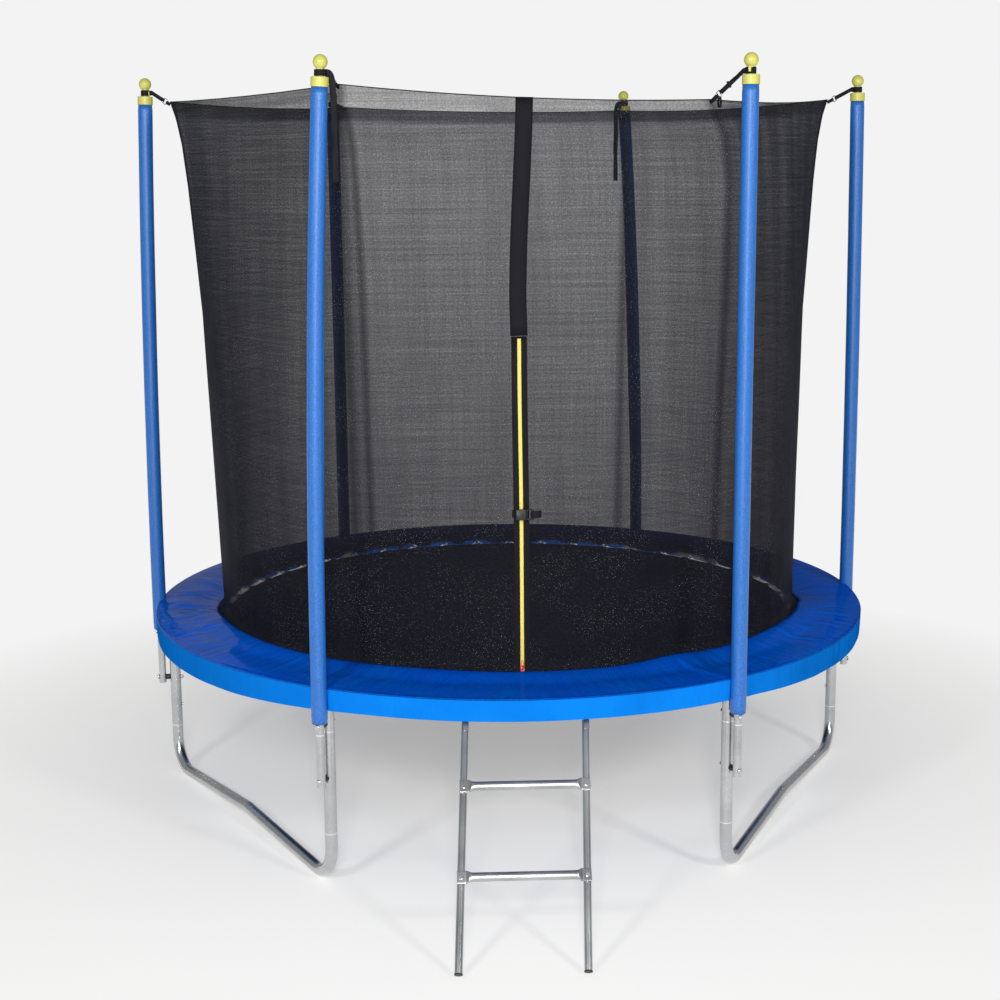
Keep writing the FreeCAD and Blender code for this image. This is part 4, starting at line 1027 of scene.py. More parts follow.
def make_mat():
    rings = [0.06, 0.2, 0.4, 0.6, 0.8, 0.9, 0.946]
    profile = [(radius, 0.0) for radius in rings]
    profile += [(0.9485, 0.0), (0.9495, 0.0), (0.9515, 0.0), (0.970, 0.0), (0.988, 0.0),
                (MAT_RADIUS, -0.0008), (MAT_RADIUS, -0.0050), (0.9885, -0.0060),
                (0.955, -0.0060), (0.950, -0.0055), (0.946, -0.0022)]
    profile += [(radius, -0.0020) for radius in reversed(rings[:-1])]
    build = Build()
    build.grid([[polar(radius, turn, height) for turn in around(MAT_COLUMNS)]
                for radius, height in profile], close_columns=True)
    top = len(build.points)
    build.points += [Vector((0, 0, 0)), Vector((0, 0, -0.0020))]
    build.uvs += [(0.0, 0.0)] * 2
    last = top - MAT_COLUMNS
    for column in range(MAT_COLUMNS):
        following = (column + 1) % MAT_COLUMNS
        build.faces.append((top, following, column))
        build.faces.append((top + 1, last + column, last + following))
    build.faces = [tuple(reversed(face)) for face in build.faces]
    piece = build.piece("jumping_mat_cloth", LOOKS["mat_weave"])
    ride(piece, "mat", "mat_weave", "jumping_mat")

    out, side = polar(1.0, 0.0), polar(1.0, 90.0)
    bar = out * TAB_BAR + UP * RING_HEIGHT
    path = [out * 0.956 + UP * 0.0008, out * 0.975 + UP * 0.0010, out * MAT_RADIUS + UP * 0.0006]
    path += arc(bar, out, UP, 0.0036, [90 - 22.5 * step for step in range(9)])
    path += [out * MAT_RADIUS - UP * 0.0076, out * 0.970 - UP * 0.0070]
    tab = Build()
    tab.ribbon(path, side, 0.0185, 0.0015)
    tabs = repeat_round("mat_tabs", tab.piece("tab", None), LOOKS["black_webbing"])
    ride(tabs, "mat", "black_webbing")
    stitch = Build()
    for row in (0.960, 0.972, 0.984):
        for step in range(5):
            place = out * row + side * (0.0030 * (step - 2)) + UP * 0.0020
            stitch.box(place, side * 0.0011, out * 0.0005, UP * 0.0003, 0.00015)
    stitches = repeat_round("mat_tab_stitches", stitch.piece("stitch", None), LOOKS["yarn"])
    ride(stitches, "mat", "mat_weave")


class Growth(Graph):
    """Geometry nodes with named inputs, which make one piece from a shape or from numbers."""

    def __init__(self, name, **kinds):
        super().__init__(bpy.data.node_groups.new(name, "GeometryNodeTree"))
        for key, kind in (*kinds.items(), ("Finish", "Material")):
            self.tree.interface.new_socket(key, in_out="INPUT", socket_type="NodeSocket" + kind)
        self.tree.interface.new_socket(
            "Geometry", in_out="OUTPUT", socket_type="NodeSocketGeometry")
        self.given = self.tree.nodes.new("NodeGroupInput").outputs

    def add(self, kind, settings=None, inputs=None):
        return self.node(kind, settings, inputs).outputs[0]

    def shape(self, key):
        info = self.node("GeometryNodeObjectInfo", {}, {"Object": self.given[key]})
        return info.outputs["Geometry"]

    def grow(self, geometry, values):
        """Ends the tree, runs it on an empty mesh and keeps the result as a plain mesh."""
        real = self.add("GeometryNodeRealizeInstances", {}, {0: geometry})
        painted = self.add(
            "GeometryNodeSetMaterial", {}, {"Geometry": real, "Material": self.given["Finish"]})
        self.node("NodeGroupOutput", {}, {0: painted})
        name = self.tree.name
        carrier = bpy.data.objects.new(name, bpy.data.meshes.new(name))
        bpy.context.scene.collection.objects.link(carrier)
        modifier = carrier.modifiers.new(name, "NODES")
        modifier.node_group = self.tree
        for item in self.tree.interface.items_tree:
            if item.in_out == "INPUT":
                modifier[item.identifier] = values[item.name]
        bpy.context.view_layer.update()
        result = carrier.evaluated_get(bpy.context.evaluated_depsgraph_get())
        mesh = bpy.data.meshes.new_from_object(result)
        carrier.modifiers.remove(modifier)
        carrier.data = mesh
        mesh.polygons.foreach_set("use_smooth", [True] * len(mesh.polygons))
        if not mesh.vertices:
            raise RuntimeError(name + " came out empty")
        for value in values.values():
            if isinstance(value, bpy.types.Object):
                bpy.data.objects.remove(value)
        return carrier


def repeat_round(name, shape, material):
    """Copies of one shape, one for each spring, equally spaced about the upright middle line."""
    growth = Growth(name, Shape="Object", Count="Int")
    count = growth.given["Count"]
    index = growth.add("GeometryNodeInputIndex")
    half = growth.add("ShaderNodeMath", {"operation": "ADD"}, {0: index, 1: 0.5})
    share = growth.add("ShaderNodeMath", {"operation": "DIVIDE"}, {0: half, 1: count})
    turn = growth.add("ShaderNodeMath", {"operation": "MULTIPLY"}, {0: share, 1: 2 * math.pi})
    spin = growth.add("ShaderNodeCombineXYZ", {}, {"Z": turn})
    points = growth.add("GeometryNodeMeshLine", {}, {"Count": count, "Offset": (0.0, 0.0, 0.0)})
    copies = growth.add("GeometryNodeInstanceOnPoints", {}, {
        "Points": points, "Instance": growth.shape("Shape"), "Rotation": spin})
    return growth.grow(copies, {"Shape": shape, "Count": SPRINGS, "Finish": material})


def repeat_along(name, path, shape, pitch, material):
    """Copies of one shape at equal steps along a line of points."""
    edges = [(index, index + 1) for index in range(len(path) - 1)]
    mesh = bpy.data.meshes.new(name + "_line")
    mesh.from_pydata([tuple(place) for place in path], edges, [])
    line = bpy.data.objects.new(name + "_line", mesh)
    bpy.context.scene.collection.objects.link(line)
    growth = Growth(name, Line="Object", Shape="Object", Pitch="Float")
    curve = growth.add("GeometryNodeMeshToCurve", {}, {"Mesh": growth.shape("Line")})
    points = growth.add("GeometryNodeCurveToPoints", {"mode": "LENGTH"}, {
        "Curve": curve, "Length": growth.given["Pitch"]})
    copies = growth.add("GeometryNodeInstanceOnPoints", {}, {
        "Points": points, "Instance": growth.shape("Shape")})
    values = {"Line": line, "Shape": shape, "Pitch": pitch, "Finish": material}
    return growth.grow(copies, values)


def make_rings():
    corners = [Vector((radius, aside, RING_HEIGHT)) for radius, aside in (
        (TAB_BAR, -0.015), (TAB_BAR, 0.015), (RING_END, 0.006), (RING_END, -0.006))]
    build = Build()
    build.tube(rounded_ring(corners, 0.004), 0.002, 8, closed=True)
    shape = build.piece("ring_shape", LOOKS["zinc_hardware"])
    piece = repeat_round("mat_ring_wires", shape, LOOKS["zinc_hardware"])
    ride(piece, "mat", "zinc_hardware", "mat_rings")


def wound_coil(turns, radius, length, wire):
    """Coil along +X, from a spiral and a round section."""
    growth = Growth("coil", Turns="Float", Radius="Float", Length="Float", Wire="Float")
    given = growth.given
    spiral = growth.add("GeometryNodeCurveSpiral", {}, {
        "Resolution": 10, "Rotations": given["Turns"], "Start Radius": given["Radius"],
        "End Radius": given["Radius"], "Height": given["Length"]})
    ring = growth.add("GeometryNodeCurvePrimitiveCircle", {}, {
        "Resolution": 5, "Radius": given["Wire"]})
    sweep = growth.add("GeometryNodeCurveToMesh", {}, {
        "Curve": spiral, "Profile Curve": ring, "Fill Caps": True})
    turned = growth.add("GeometryNodeTransform", {}, {
        0: sweep, "Rotation": (0.0, math.radians(90), 0.0)})
    return growth.grow(turned, {"Turns": turns, "Radius": radius, "Length": length,
                                "Wire": wire, "Finish": LOOKS["zinc_hardware"]})


def make_springs():
    values = sizes()
    wire = values.spring_wire / 2
    start, end = 1.048, 1.160
    radius = 0.007 - wire
    coil = wound_coil(float(values.spring_turns), radius, end - start, wire * 0.98)
    coil.data.transform(Matrix.Translation((start, 0.0, RING_HEIGHT)))
    inside = RING_END - 0.0040
    hole = RING_RADIUS - TUBE_RADIUS + 0.007
    hooks = Build()
    for line in (
            ((start + 0.002, radius), (start - 0.006, 0.0020), (RING_END + 0.0040, 0.0040),
             (inside, 0.0040), (inside, -0.006)),
            ((end - 0.002, radius), (end + 0.007, 0.0), (hole, 0.0), (hole, -0.007))):
        path = [Vector((x, 0, RING_HEIGHT + rise)) for x, rise in line]
        hooks.tube(rounded(path, 0.0035, 3), wire, 6)
    hook_piece = hooks.piece("hooks", LOOKS["zinc_hardware"])
    points = []
    faces = []
    for part in (coil, hook_piece):
        offset = len(points)
        points += [vertex.co.copy() for vertex in part.data.vertices]
        faces += [tuple(corner + offset for corner in polygon.vertices)
                  for polygon in part.data.polygons]
        bpy.data.objects.remove(part)
    for index in range(SPRINGS):
        angle = SPRING_STEP * (index + 0.5)
        turn = Matrix.Rotation(math.radians(angle), 4, "Z")
        piece = make_mesh("spring_%02d" % (index + 1), [turn @ point for point in points],
                          faces, LOOKS["zinc_hardware"])
        polar(RING_END, angle, RING_HEIGHT)
        polar(1.175, angle, RING_HEIGHT)
        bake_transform(piece)
        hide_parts("springs")


def net_fold(side, share, height, top):
    """How far the net stands out or in at a place, from its folds."""
    angle = (side + share) * STEP
    near = min(share, 1 - share)
    high = smooth_step(height / top, 0.45, 1.0)
    low = 1 - smooth_step(height, 0.0, 0.35)
    door = 1 - hump(angle, DOOR_ANGLE, 3.2)
    pull = hump(near, 0.0, 0.10)
    broad = rim_noise(angle, 3.0, height * 0.8 + 2.0)
    drape = rim_noise(angle, 14.0, height * 0.35 + 6.0)
    fold = math.sin(near * 150 + height * 3.0) * pull * high * 0.55
    foot = rim_noise(angle, 26.0, 11.0) * low * 0.5
    pinned = smooth_step(height, 0.0, 0.06) * (1 - smooth_step(height / top, 0.965, 1.0) * pull)
    return (broad * 0.9 + drape * 0.55 + fold + foot) * door * pinned


def net_foot(angle, height):
    """How far the net stands out and up near its foot."""
    front = hump(angle, DOOR_ANGLE, 45.0, 4)
    beside = bumps(angle, ((0.0, 22.0), (180.0, 22.0), (360.0, 22.0)))
    low = 1 - smooth_step(height, 0.0, 0.040)
    behind = smooth_step(math.sin(math.radians(angle)), 0.10, 0.40)
    loose = 0.5 - 0.5 * math.cos(math.radians((angle - SPRING_STEP / 2) * SPRINGS))
    opened = rim_open(angle)
    up = (0.0150 * opened - 0.0080 * (1 - opened) * loose) * behind + 0.004 * beside
    return (0.013 + 0.022 * beside) * low * (1 - front), up


def net_bands(levels):
    """Each row of the net as the band that it lies in and its share of the band's height."""
    shares = []
    for band in range(levels - 1):
        rise = NET_LEVELS[band + 1][0] - NET_LEVELS[band][0]
        steps = 8 if band == levels - 2 else max(int(rise / 0.035), 3)
        shares += [(band, step / steps) for step in range(steps)]
    shares.insert(1, (0, 0.012 / (NET_LEVELS[1][0] - NET_LEVELS[0][0])))
    return shares + [(levels - 2, 1.0)]


def make_net():
    amount = sizes().net_fold
    arcs = []
    for corners, middles in [net_points(level) for level in NET_LEVELS[:-1]] + [hem_points()]:
        line = []
        for side in range(SIDES):
            following = corners[(side + 1) % SIDES]
            line += arc_through(corners[side], middles[side], following, NET_COLUMNS)[:-1]
        arcs.append(line)
    columns = NET_COLUMNS * SIDES
    rows = []
    uvs = []
    hems = []
    seams = []
    for band, share in net_bands(len(arcs)):
        row = []
        for column in range(columns):
            point = arcs[band][column].lerp(arcs[band + 1][column], share)
            top = arcs[-1][column].z
            side, place = divmod(column, NET_COLUMNS)
            out = Vector((point.x, point.y, 0)).normalized()
            point = point + out * (net_fold(side, place / NET_COLUMNS, point.z, top) * amount)
            flare, up = net_foot(360.0 * column / columns, point.z)
            point = point + out * flare
            if not rows:
                point.z += up
            row.append(point)
            uvs.append((column / NET_COLUMNS * 1.02, point.z))
            hems.append(1.0 if top - point.z < NET_HEM else 0.0)
            seams.append(hump(min(place, NET_COLUMNS - place), 0.0, 0.5))
        rows.append(row)
    build = Build()
    build.grid(rows, close_columns=True, uvs=uvs)
    piece = build.piece("safety_net_mesh", LOOKS["net_mesh"], wrap=SIDES * 1.02)
    carry(piece, "hem", hems)
    carry(piece, "seam", seams)
    ride(piece, "frame", "net_mesh", "safety_net")
    piping = Build()
    piping.tube(rows[-1], 0.0016, 6, closed=True)
    piping.tube(rows[0], 0.0012, 6, closed=True)
    edge = piping.piece("safety_net_edge", LOOKS["black_webbing"])
    ride(edge, "frame", "black_webbing")


def door_point(height, across, standoff):
    """Place on the door: height, distance to the right, distance out from the net."""
    radius = span_radius(height) + standoff
    return polar(radius, DOOR_ANGLE, height) + polar(across, DOOR_ANGLE + 90)


def door_sway(height):
    """The flap hangs a little to the left in its lower half, and the zip below it hardly at all."""
    sway = 0.0035 * smooth_step(height, 0.45, 0.95) + 0.0060 * smooth_step(height, 1.02, 1.18)
    return -sway * (1 - smooth_step(height, 1.25, 1.70))


def door_path(low, high, across, standoff, lean=0.0):
    count = max(int((high - low) / 0.03), 1)
    path = []
    for i in range(count + 1):
        height = low + (high - low) * i / count
        path.append(door_point(height, across + door_sway(height) + lean * i / count, standoff))
    return path


def make_door():
    right, out = polar(1.0, DOOR_ANGLE + 90), polar(1.0, DOOR_ANGLE)
    band = Build()
    band.ribbon(door_path(0.010, 1.046, 0.0, 0.0004), right, 0.046, 0.0006)
    band_piece = band.piece("door_band", LOOKS["door_band"])
    ride(band_piece, "frame", "black_webbing")

    tape = Build()
    for hand in (-1, 1):
        tape.ribbon(door_path(0.037, 1.040, 0.0034 * hand, 0.0012), right, 0.0038, 0.0009)
    for hand in (-1, 1):
        tape.tube(door_path(0.037, 1.040, 0.0022 * hand, 0.0022), 0.0010, 6)
    tape_piece = tape.piece("zip_tapes", LOOKS["yellow_zip"])
    ride(tape_piece, "frame", "yellow_zip", "zip_tape")

    pitch = sizes().tooth_pitch
    tooth = Build()
    tooth.box(Vector((0, 0, 0)), right * 0.0022, UP * (pitch * 0.42), out * 0.0012, 0.0003)
    teeth = repeat_along("zip_teeth", door_path(0.040, 1.038, 0.0, 0.0026),
                         tooth.piece("tooth", None), pitch, LOOKS["yellow_plastic"])
    ride(teeth, "frame", "yellow_zip")

    flap = Build()
    low, high, lean, width = FLAP
    flap.ribbon(door_path(low, high, 0.0, 0.0018, lean), right, width, 0.0018)
    for hand in (-1, 1):
        flap.tube(door_path(low, high, 0.0215 * hand, 0.0030, lean), 0.0006, 5)
    flap_piece = flap.piece("door_flap", LOOKS["door_band"])
    ride(flap_piece, "frame", "black_webbing", "zip_flap")

    slider = Build()
    base = 0.044
    middle = base + 0.010
    for hand in (-1, 1):
        slider.box(door_point(middle, 0.0042 * hand, 0.0048),
                   right * 0.0021, UP * 0.0095, out * 0.0021, 0.0008)
    slider.box(door_point(middle, 0.0, 0.0064), right * 0.0062, UP * 0.0098, out * 0.0008, 0.0005)
    bridge = [door_point(base + rise, 0.0, standoff) for rise, standoff in (
        (0.004, 0.0074), (0.007, 0.0090), (0.013, 0.0090), (0.016, 0.0074))]
    slider.tube(bridge, 0.0009, 6)
    pull = [door_point(base + 0.023 + 0.0125 * math.sin(turn), 0.0032 * math.cos(turn), 0.0086)
            for turn in map(math.radians, around(20))]
    slider.tube(pull, 0.0008, 6, closed=True)
    piece = slider.piece("zip_runner", LOOKS["red_slider"])
    ride(piece, "zip_puller", "red_slider", "zip_slider")


def make_buckle():
    right, out = polar(1.0, DOOR_ANGLE + 90), polar(1.0, DOOR_ANGLE)
    height, standoff, middle = 0.524, 0.0105, 0.005

    def at(across, depth, rise=0.0):
        return door_point(height, across, standoff + depth) + UP * rise

    socket = Build()
    for depth in (0.0015, 0.0085):
        socket.box(at(-0.002, depth), right * 0.0148, UP * 0.0158, out * 0.0013, 0.0011)
    for rise in (-0.0138, 0.0138):
        socket.box(at(-0.002, middle, rise), right * 0.0146, UP * 0.0019, out * 0.0040, 0.0008)
    socket.box(at(-0.0155, middle), right * 0.0014, UP * 0.0150, out * 0.0040, 0.0008)
    socket_piece = socket.piece("buckle_socket_shell", LOOKS["black_plastic"])
    ride(socket_piece, "frame", "black_plastic", "buckle_socket")

    plug = Build()
    plug.box(at(0.0155, middle), right * 0.0020, UP * 0.0155, out * 0.0048, 0.0012)
    plug.box(at(0.0335, middle), right * 0.0017, UP * 0.0155, out * 0.0042, 0.0012)
    for rise in (-0.0140, 0.0140):
        plug.box(at(0.0245, middle, rise), right * 0.0100, UP * 0.0016, out * 0.0042, 0.0008)
    for rise in (-0.0072, 0.0072):
        plug.box(at(0.0040, middle, rise), right * 0.0102, UP * 0.0034, out * 0.0018, 0.0007)
    plug_piece = plug.piece("buckle_plug_body", LOOKS["black_plastic"])
    ride(plug_piece, "buckle_half", "black_plastic", "buckle_plug")

    left = ((-0.0150, 0.0046), (-0.0185, 0.0030), (-0.0205, -0.0040), (-0.0215, -0.0086),
            (-0.0280, -0.0086))
    tail = ((0.0270, 0.0046), (0.0345, 0.0078), (0.046, 0.0040), (0.058, -0.0020))
    for name, body, bend, line in (("buckle_strap_left", "frame", 0.01, left),
                                   ("buckle_strap_right", "buckle_half", 0.006, tail)):
        strap = Build()
        path = rounded([at(across, depth) for across, depth in line], bend, 4)
        strap.ribbon(path, UP, 0.022, 0.0018)
        ride(strap.piece(name, LOOKS["black_webbing"]), body, "black_webbing")


def neck_loop(bands, index, neck, axis, level):
    """Webbing round the neck of a cap, with a second layer over the side that faces the net."""
    side = level.cross(UP)
    loop = []
    for turn in map(math.radians, around(28)):
        reach = 0.0138 + 0.0004 * math.sin(3 * turn + index)
        loop.append(neck + level * (reach * math.cos(turn)) + side * (reach * math.sin(turn)))
    bands.ribbon(loop, axis, 0.0178, 0.0020, closed=True)
    second = [place + axis * 0.0006 + (place - neck).normalized() * 0.0021
              for place in loop[-9:] + loop[:10]]
    bands.ribbon(second, axis, 0.0172, 0.0018)


def make_straps():
    corners = hem_points()[0]
    bands, rings, keeper = Build(), Build(), Build()
    bar, tall_side, wrap = 0.0075, 0.0090, 0.0027
    for index in range(SIDES):
        neck, axis = pole_place(index, NECK_HEIGHT)
        corner = corners[index] - UP * 0.009
        level = Vector((corner.x - neck.x, corner.y - neck.y, 0)).normalized()
        side = level.cross(UP)
        knee = neck + level * 0.028
        along = (corner - knee).normalized()
        length = (corner - knee).length
        tall = side.cross(along)
        neck_loop(bands, index, neck, axis, level)

        centre = knee + along * (length * 0.72)
        near, far = centre - along * bar, centre + along * bar
        path = rounded([neck + level * 0.0148 + side * 0.0012, knee + side * 0.0012,
                        near + side * 0.0028 - along * 0.004], 0.012, 5)
        path += arc(near, along, side, wrap, range(90, -91, -30))
        path += [near - side * 0.0026 - along * 0.010, knee.lerp(near, 0.35) - side * 0.0014]
        count = len(path)
        widths = [0.0170 - 0.0056 * min(1.0, step / (count * 0.5)) for step in range(count)]
        bands.ribbon(path, [UP, UP] + [tall] * (count - 2), widths, 0.0017)

        end = corner - along * 0.0008
        path = [end + side * 0.0011, far + along * 0.006 + side * 0.0024]
        path += arc(far, along, side, wrap, range(90, 271, 30))
        path += [far + along * 0.006 - side * 0.0024, end - side * 0.0011]
        bands.ribbon(path, tall, 0.0104, 0.0016)
        square = [centre + along * (bar * a) + tall * (tall_side * b)
                  for a, b in ((-1, -1), (-1, 1), (1, 1), (1, -1))]
        rings.tube(rounded_ring(square, 0.004), 0.0015, 8, closed=True)

        if index == 3:
            keeper.box(neck + polar(0.0172, 330.0) - UP * 0.002, polar(0.0012, 330.0),
                       polar(0.0035, 60.0), UP * 0.0080, 0.0010)
        if index == 5:
            spot = neck - polar(0.0165, 90.0) + polar(0.010, 215.0) + UP * 0.004
            keeper.box(spot, polar(0.0035, 0.0), polar(0.0012, 90.0), UP * 0.0085, 0.0010)
            bands.box(knee + along * (length * 0.42), along * 0.0030, tall * 0.0100,
                      side * 0.0032, 0.0010)
            hanging = [centre - UP * drop + level * away for drop, away in (
                (0.006, 0.0), (0.020, 0.004), (0.036, 0.001), (0.039, -0.004),
                (0.024, -0.007), (0.006, -0.004))]
            bands.ribbon(rounded(hanging, 0.005, 3), side, 0.0090, 0.0014)
    ride(bands.piece("net_strap_webbing", LOOKS["black_webbing"]), "frame", "black_webbing",
         "net_straps")
    ride(rings.piece("strap_ring_wires", LOOKS["zinc_hardware"]), "frame", "zinc_hardware",
         "strap_rings")
    ride(keeper.piece("strap_keeper", LOOKS["lime_plastic"]), "frame", "lime_plastic")


def ladder_lines():
    """Foot, direction up the rail, direction off its face and the rail's run to the ring."""
    hinge = Vector((0, math.sqrt(RING_RADIUS ** 2 - LADDER_HALF_WIDTH ** 2), RING_HEIGHT))
    slope = math.radians(50)
    for _ in range(5):
        foot = Vector((0, LADDER_FOOT, FLOOR + LADDER_FOOT_CAP * math.cos(slope)))
        run = hinge - foot
        slope = math.atan2(run.z, -run.y) - math.asin(LADDER_HINGE_GAP / run.length)
    along = Vector((0, -math.cos(slope), math.sin(slope)))
    off = Vector((0, math.sin(slope), math.cos(slope)))
    return foot, along, off, math.sqrt(run.length ** 2 - LADDER_HINGE_GAP ** 2)


def rung_stations():
    """Places along a rung from its left end to its right end, and how flat it is there."""
    end = LADDER_HALF_WIDTH + LADDER_TUBE
    left = [(past - end, flat) for past, flat in (
        (0.0, 1.0), (0.001, 1.0), (0.022, 1.0), (0.025, 0.94), (0.028, 0.72), (0.031, 0.46),
        (0.034, 0.26), (0.038, 0.10), (0.043, 0.02), (0.050, 0.0))]
    left += [(-0.06, 0.0), (0.0, 0.0)]
    return left + [(-x, flat) for x, flat in reversed(left[:-1])]


def make_ladder():
    foot, along, off, under = ladder_lines()
    turn = Matrix.Rotation(math.radians(LADDER_ANGLE - 90), 4, "Z")
    radius = sizes().rung_radius
    across = Vector((1, 0, 0))
    for order, height in enumerate(RUNG_HEIGHTS):
        up_rail = (FLOOR + height - foot.z) / along.z
        aside = (under - up_rail) * math.tan(math.radians(LADDER_RACK))
        face = LADDER_TUBE + 0.0003 + 0.0025
        centre = foot + along * up_rail + off * face + across * aside
        rings = []
        for x, flat in rung_stations():
            tall = radius + (0.018 - radius) * smooth_step(flat, 0.0, 0.8)
            deep = radius + (RUNG_FLAT - radius) * flat
            power = 2 / (2.0 + 6.0 * flat)
            ring = []
            for angle in map(math.radians, around(40)):
                c, s = math.cos(angle), math.sin(angle)
                up_face = math.copysign(abs(c) ** power, c) * tall
                out = math.copysign(abs(s) ** power, s) * deep
                ring.append(turn @ (centre + across * x + along * up_face + off * out))
            rings.append(ring)
        build = Build()
        build.loft(rings)
        name = "ladder_rung_%d" % (order + 1)
        piece = build.piece(name + "_tube", LOOKS["ladder_tube"])
        ride(piece, "ladder", "galvanised_tube", name)


def make_world():
    """White behind everything; a dim grey room lights the piece and shows in its gloss."""
    world = bpy.data.worlds.new("studio")
    bpy.context.scene.world = world
    world.use_nodes = True
    graph = Graph(world.node_tree)
    rays = graph.node("ShaderNodeLightPath").outputs
    seen = graph.node("ShaderNodeMath", {"operation": "MAXIMUM"}, {
        0: rays["Is Camera Ray"], 1: rays["Is Transmission Ray"]})
    room = graph.node("ShaderNodeMix", {"data_type": "RGBA"}, {
        0: rays["Is Glossy Ray"], 6: (0.185, 0.187, 0.190), 7: (0.33, 0.335, 0.345)})
    dim = graph.tree.nodes["Background"]
    graph.give(dim, {"Color": room.outputs[2]})
    bright = graph.node("ShaderNodeBackground", {}, {"Color": BACKDROP})
    mix = graph.node("ShaderNodeMixShader", {}, {
        0: seen.outputs[0], 1: dim.outputs[0], 2: bright.outputs[0]})
    graph.give(graph.tree.nodes["World Output"], {"Surface": mix.outputs[0]})


def make_floor():
    """Pale floor, which turns into the backdrop's white away from the trampoline."""
    floor = Build()
    floor.grid([[Vector((x, y, FLOOR)) for x in (-9, 9)] for y in (-9, 9)])
    look = Look("studio_floor", **{"Specular IOR Level": 0.0, "Emission Strength": 1.0})
    here = look.place()
    distance = ((look.axis(here, 0) ** 2.0) + (look.axis(here, 1) ** 2.0)) ** 0.5
    far = distance.above(1.95, 1.8)
    grain = look.cloud(here, 3.0, 3.0)
    tone = look.blend(grain, (0.80, 0.795, 0.785), (0.83, 0.825, 0.815))
    look.show(
        Base_Color=look.blend(far, tone, (0.0, 0.0, 0.0)),
        Emission_Color=look.blend(far, (0.345, 0.34, 0.33), BACKDROP),
        Roughness=grain * 0.1 + 0.8,
    )
    floor.piece("studio_floor", look.material, smooth=False)


def make_lamps():
    for name, place, size, power in (
            ("key", (-0.6, -7.3, 2.8), (1.2, 1.2), 165.0),
            ("strip", (-0.3, -7.0, 1.35), (0.45, 2.9), 105.0),
            ("left", (-3.4, -5.6, 3.1), (0.8, 0.8), 90.0),
            ("right", (3.6, -5.6, 3.1), (0.8, 0.8), 95.0)):
        light = bpy.data.lights.new(name, "AREA")
        light.shape = "RECTANGLE"
        light.size, light.size_y = size
        light.energy = power
        lamp = bpy.data.objects.new(name, light)
        lamp.location = place
        aim = Vector((0, 0, 0.5)) - Vector(place)
        lamp.rotation_mode = "QUATERNION"
        lamp.rotation_quaternion = aim.to_track_quat("-Z", "Y")
        bpy.context.scene.collection.objects.link(lamp)


def make_camera():
    lens = bpy.data.cameras.new("camera")
    lens.sensor_width = 36.0
    lens.lens = 60.65
    camera = bpy.data.objects.new("camera", lens)
    forward = Vector((0.05321, 0.98050, -0.18915)).normalized()
    level = forward.cross(UP).normalized()
    rise = level.cross(forward)
    roll = -0.0081
    across = level * math.cos(roll) + rise * math.sin(roll)
    upward = rise * math.cos(roll) - level * math.sin(roll)
    axes = Matrix((across, upward, -forward)).transposed().to_4x4()
    camera.matrix_world = Matrix.Translation((-0.3441, -5.8571, 1.504)) @ axes
    bpy.context.scene.collection.objects.link(camera)
    bpy.context.scene.camera = camera


def make_stage():
    bpy.context.scene.view_settings.view_transform = "Standard"
    make_world()
    make_floor()
    make_lamps()
    make_camera()


# Operators
class TRAMPOLINE_OT_finishes(bpy.types.Operator):
    """Makes every finish from the colours in the panel"""
    bl_idname = "trampoline.finishes"
    bl_label = "Finishes"

    def execute(self, context):
        make_looks(context.scene.trampoline_colours)
        return {"FINISHED"}


class TRAMPOLINE_OT_hardware(bpy.types.Operator):
    """Gives the tubes, caps, bolts, nuts and spacers their finishes"""
    bl_idname = "trampoline.hardware"
    bl_label = "Tubes and hardware"

    def execute(self, context):
        make_hardware()
        return {"FINISHED"}


class TRAMPOLINE_OT_tails(bpy.types.Operator):
    """Hangs the two loose strap ends"""
    bl_idname = "trampoline.tails"
    bl_label = "Loose strap ends"

    def execute(self, context):
        make_tails()
        return {"FINISHED"}


class TRAMPOLINE_OT_foam(bpy.types.Operator):
    """Puts the foam sleeves round the poles"""
    bl_idname = "trampoline.foam"
    bl_label = "Foam sleeves"

    def execute(self, context):
        make_foam()
        return {"FINISHED"}


class TRAMPOLINE_OT_pad(bpy.types.Operator):
    """Lays the creased pad over the springs, and ties it"""
    bl_idname = "trampoline.pad"
    bl_label = "Spring pad"

    def execute(self, context):
        make_pad()
        return {"FINISHED"}


class TRAMPOLINE_OT_mat(bpy.types.Operator):
    """Makes the jumping mat with its hem and tabs"""
    bl_idname = "trampoline.mat"
    bl_label = "Jumping mat"

    def execute(self, context):
        make_mat()
        return {"FINISHED"}


class TRAMPOLINE_OT_rings(bpy.types.Operator):
    """Bends the wire rings in the mat's tabs"""
    bl_idname = "trampoline.rings"
    bl_label = "Mat rings"

    def execute(self, context):
        make_rings()
        return {"FINISHED"}


class TRAMPOLINE_OT_springs(bpy.types.Operator):
    """Winds the springs between the rings and the frame"""
    bl_idname = "trampoline.springs"
    bl_label = "Springs"

    def execute(self, context):
        make_springs()
        return {"FINISHED"}


class TRAMPOLINE_OT_net(bpy.types.Operator):
    """Hangs the safety net from its six corners"""
    bl_idname = "trampoline.net"
    bl_label = "Safety net"

    def execute(self, context):
        make_net()
        return {"FINISHED"}


class TRAMPOLINE_OT_door(bpy.types.Operator):
    """Makes the zip, its slider and the flap of the door"""
    bl_idname = "trampoline.door"
    bl_label = "Door"

    def execute(self, context):
        make_door()
        return {"FINISHED"}


class TRAMPOLINE_OT_buckle(bpy.types.Operator):
    """Makes the two halves of the door's buckle and their webbing"""
    bl_idname = "trampoline.buckle"
    bl_label = "Buckle"

    def execute(self, context):
        make_buckle()
        return {"FINISHED"}


class TRAMPOLINE_OT_straps(bpy.types.Operator):
    """Ties the net's corners to the caps with webbing and rings"""
    bl_idname = "trampoline.straps"
    bl_label = "Net straps"

    def execute(self, context):
        make_straps()
        return {"FINISHED"}


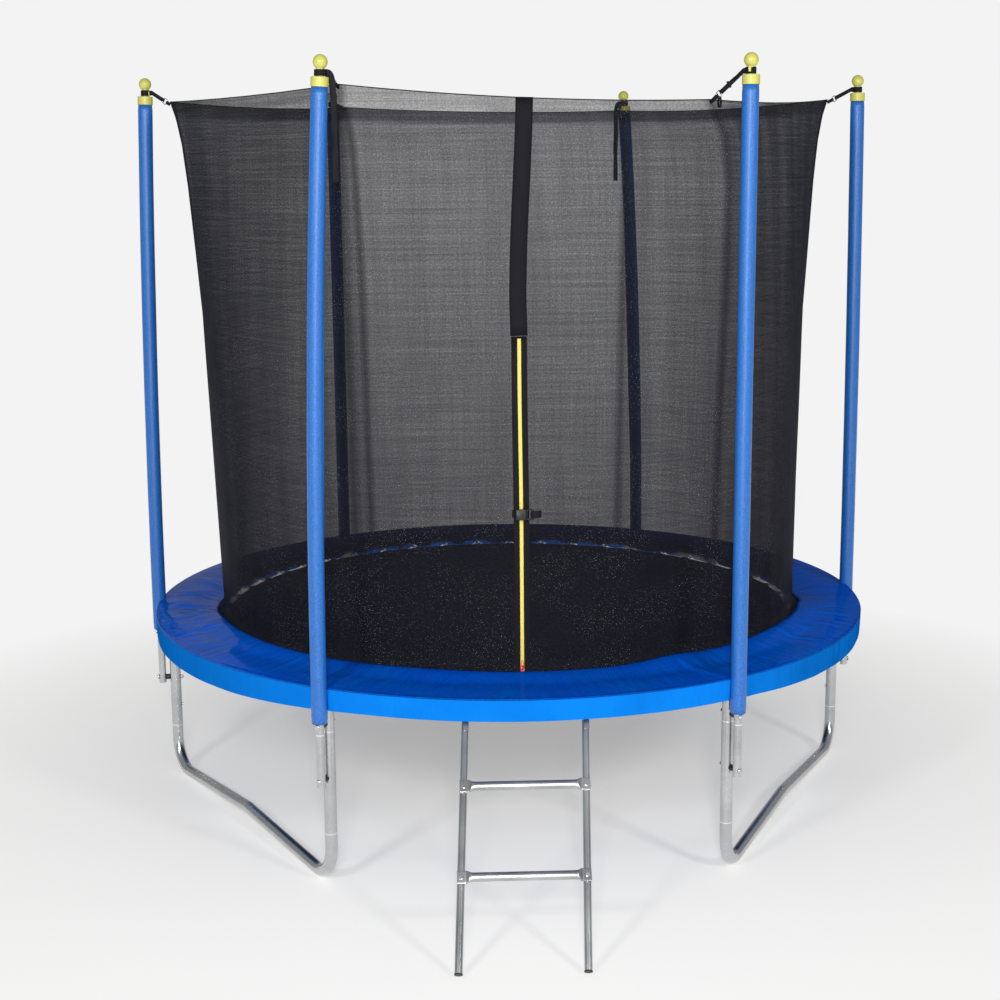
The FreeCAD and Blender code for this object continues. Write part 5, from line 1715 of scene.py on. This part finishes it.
class TRAMPOLINE_OT_ladder(bpy.types.Operator):
    """Presses the ladder's rungs from tube"""
    bl_idname = "trampoline.ladder"
    bl_label = "Ladder rungs"

    def execute(self, context):
        make_ladder()
        return {"FINISHED"}


class TRAMPOLINE_OT_stage(bpy.types.Operator):
    """Sets the floor, the lamps and the camera"""
    bl_idname = "trampoline.stage"
    bl_label = "Stage"

    def execute(self, context):
        make_stage()
        return {"FINISHED"}


STEPS = (
    TRAMPOLINE_OT_finishes,
    TRAMPOLINE_OT_stage,
    TRAMPOLINE_OT_tails,
    TRAMPOLINE_OT_hardware,
    TRAMPOLINE_OT_foam,
    TRAMPOLINE_OT_pad,
    TRAMPOLINE_OT_mat,
    TRAMPOLINE_OT_rings,
    TRAMPOLINE_OT_springs,
    TRAMPOLINE_OT_net,
    TRAMPOLINE_OT_door,
    TRAMPOLINE_OT_buckle,
    TRAMPOLINE_OT_straps,
    TRAMPOLINE_OT_ladder,
)


class TRAMPOLINE_PT_panel(bpy.types.Panel):
    """Sizes, colours and pieces of the trampoline"""
    bl_idname = "TRAMPOLINE_PT_panel"
    bl_label = "Trampoline"
    bl_space_type = "VIEW_3D"
    bl_region_type = "UI"
    bl_category = "Trampoline"

    def draw(self, context):
        layout = self.layout
        for group in (context.scene.trampoline_sizes, context.scene.trampoline_colours):
            box = layout.box()
            for name in group.__annotations__:
                box.prop(group, name)
        for step in STEPS:
            layout.operator(step.bl_idname)


def register():
    for kind in (TrampolineSizes, TrampolineColours, *STEPS, TRAMPOLINE_PT_panel):
        bpy.utils.register_class(kind)
    bpy.types.Scene.trampoline_sizes = PointerProperty(type=TrampolineSizes)
    bpy.types.Scene.trampoline_colours = PointerProperty(type=TrampolineColours)


def unregister():
    del bpy.types.Scene.trampoline_sizes
    del bpy.types.Scene.trampoline_colours
    for kind in reversed((TrampolineSizes, TrampolineColours, *STEPS, TRAMPOLINE_PT_panel)):
        bpy.utils.unregister_class(kind)


def main():
    register()
    for step in STEPS:
        group, name = step.bl_idname.split(".")
        getattr(getattr(bpy.ops, group), name)()


if __name__ == "__main__":
    main()
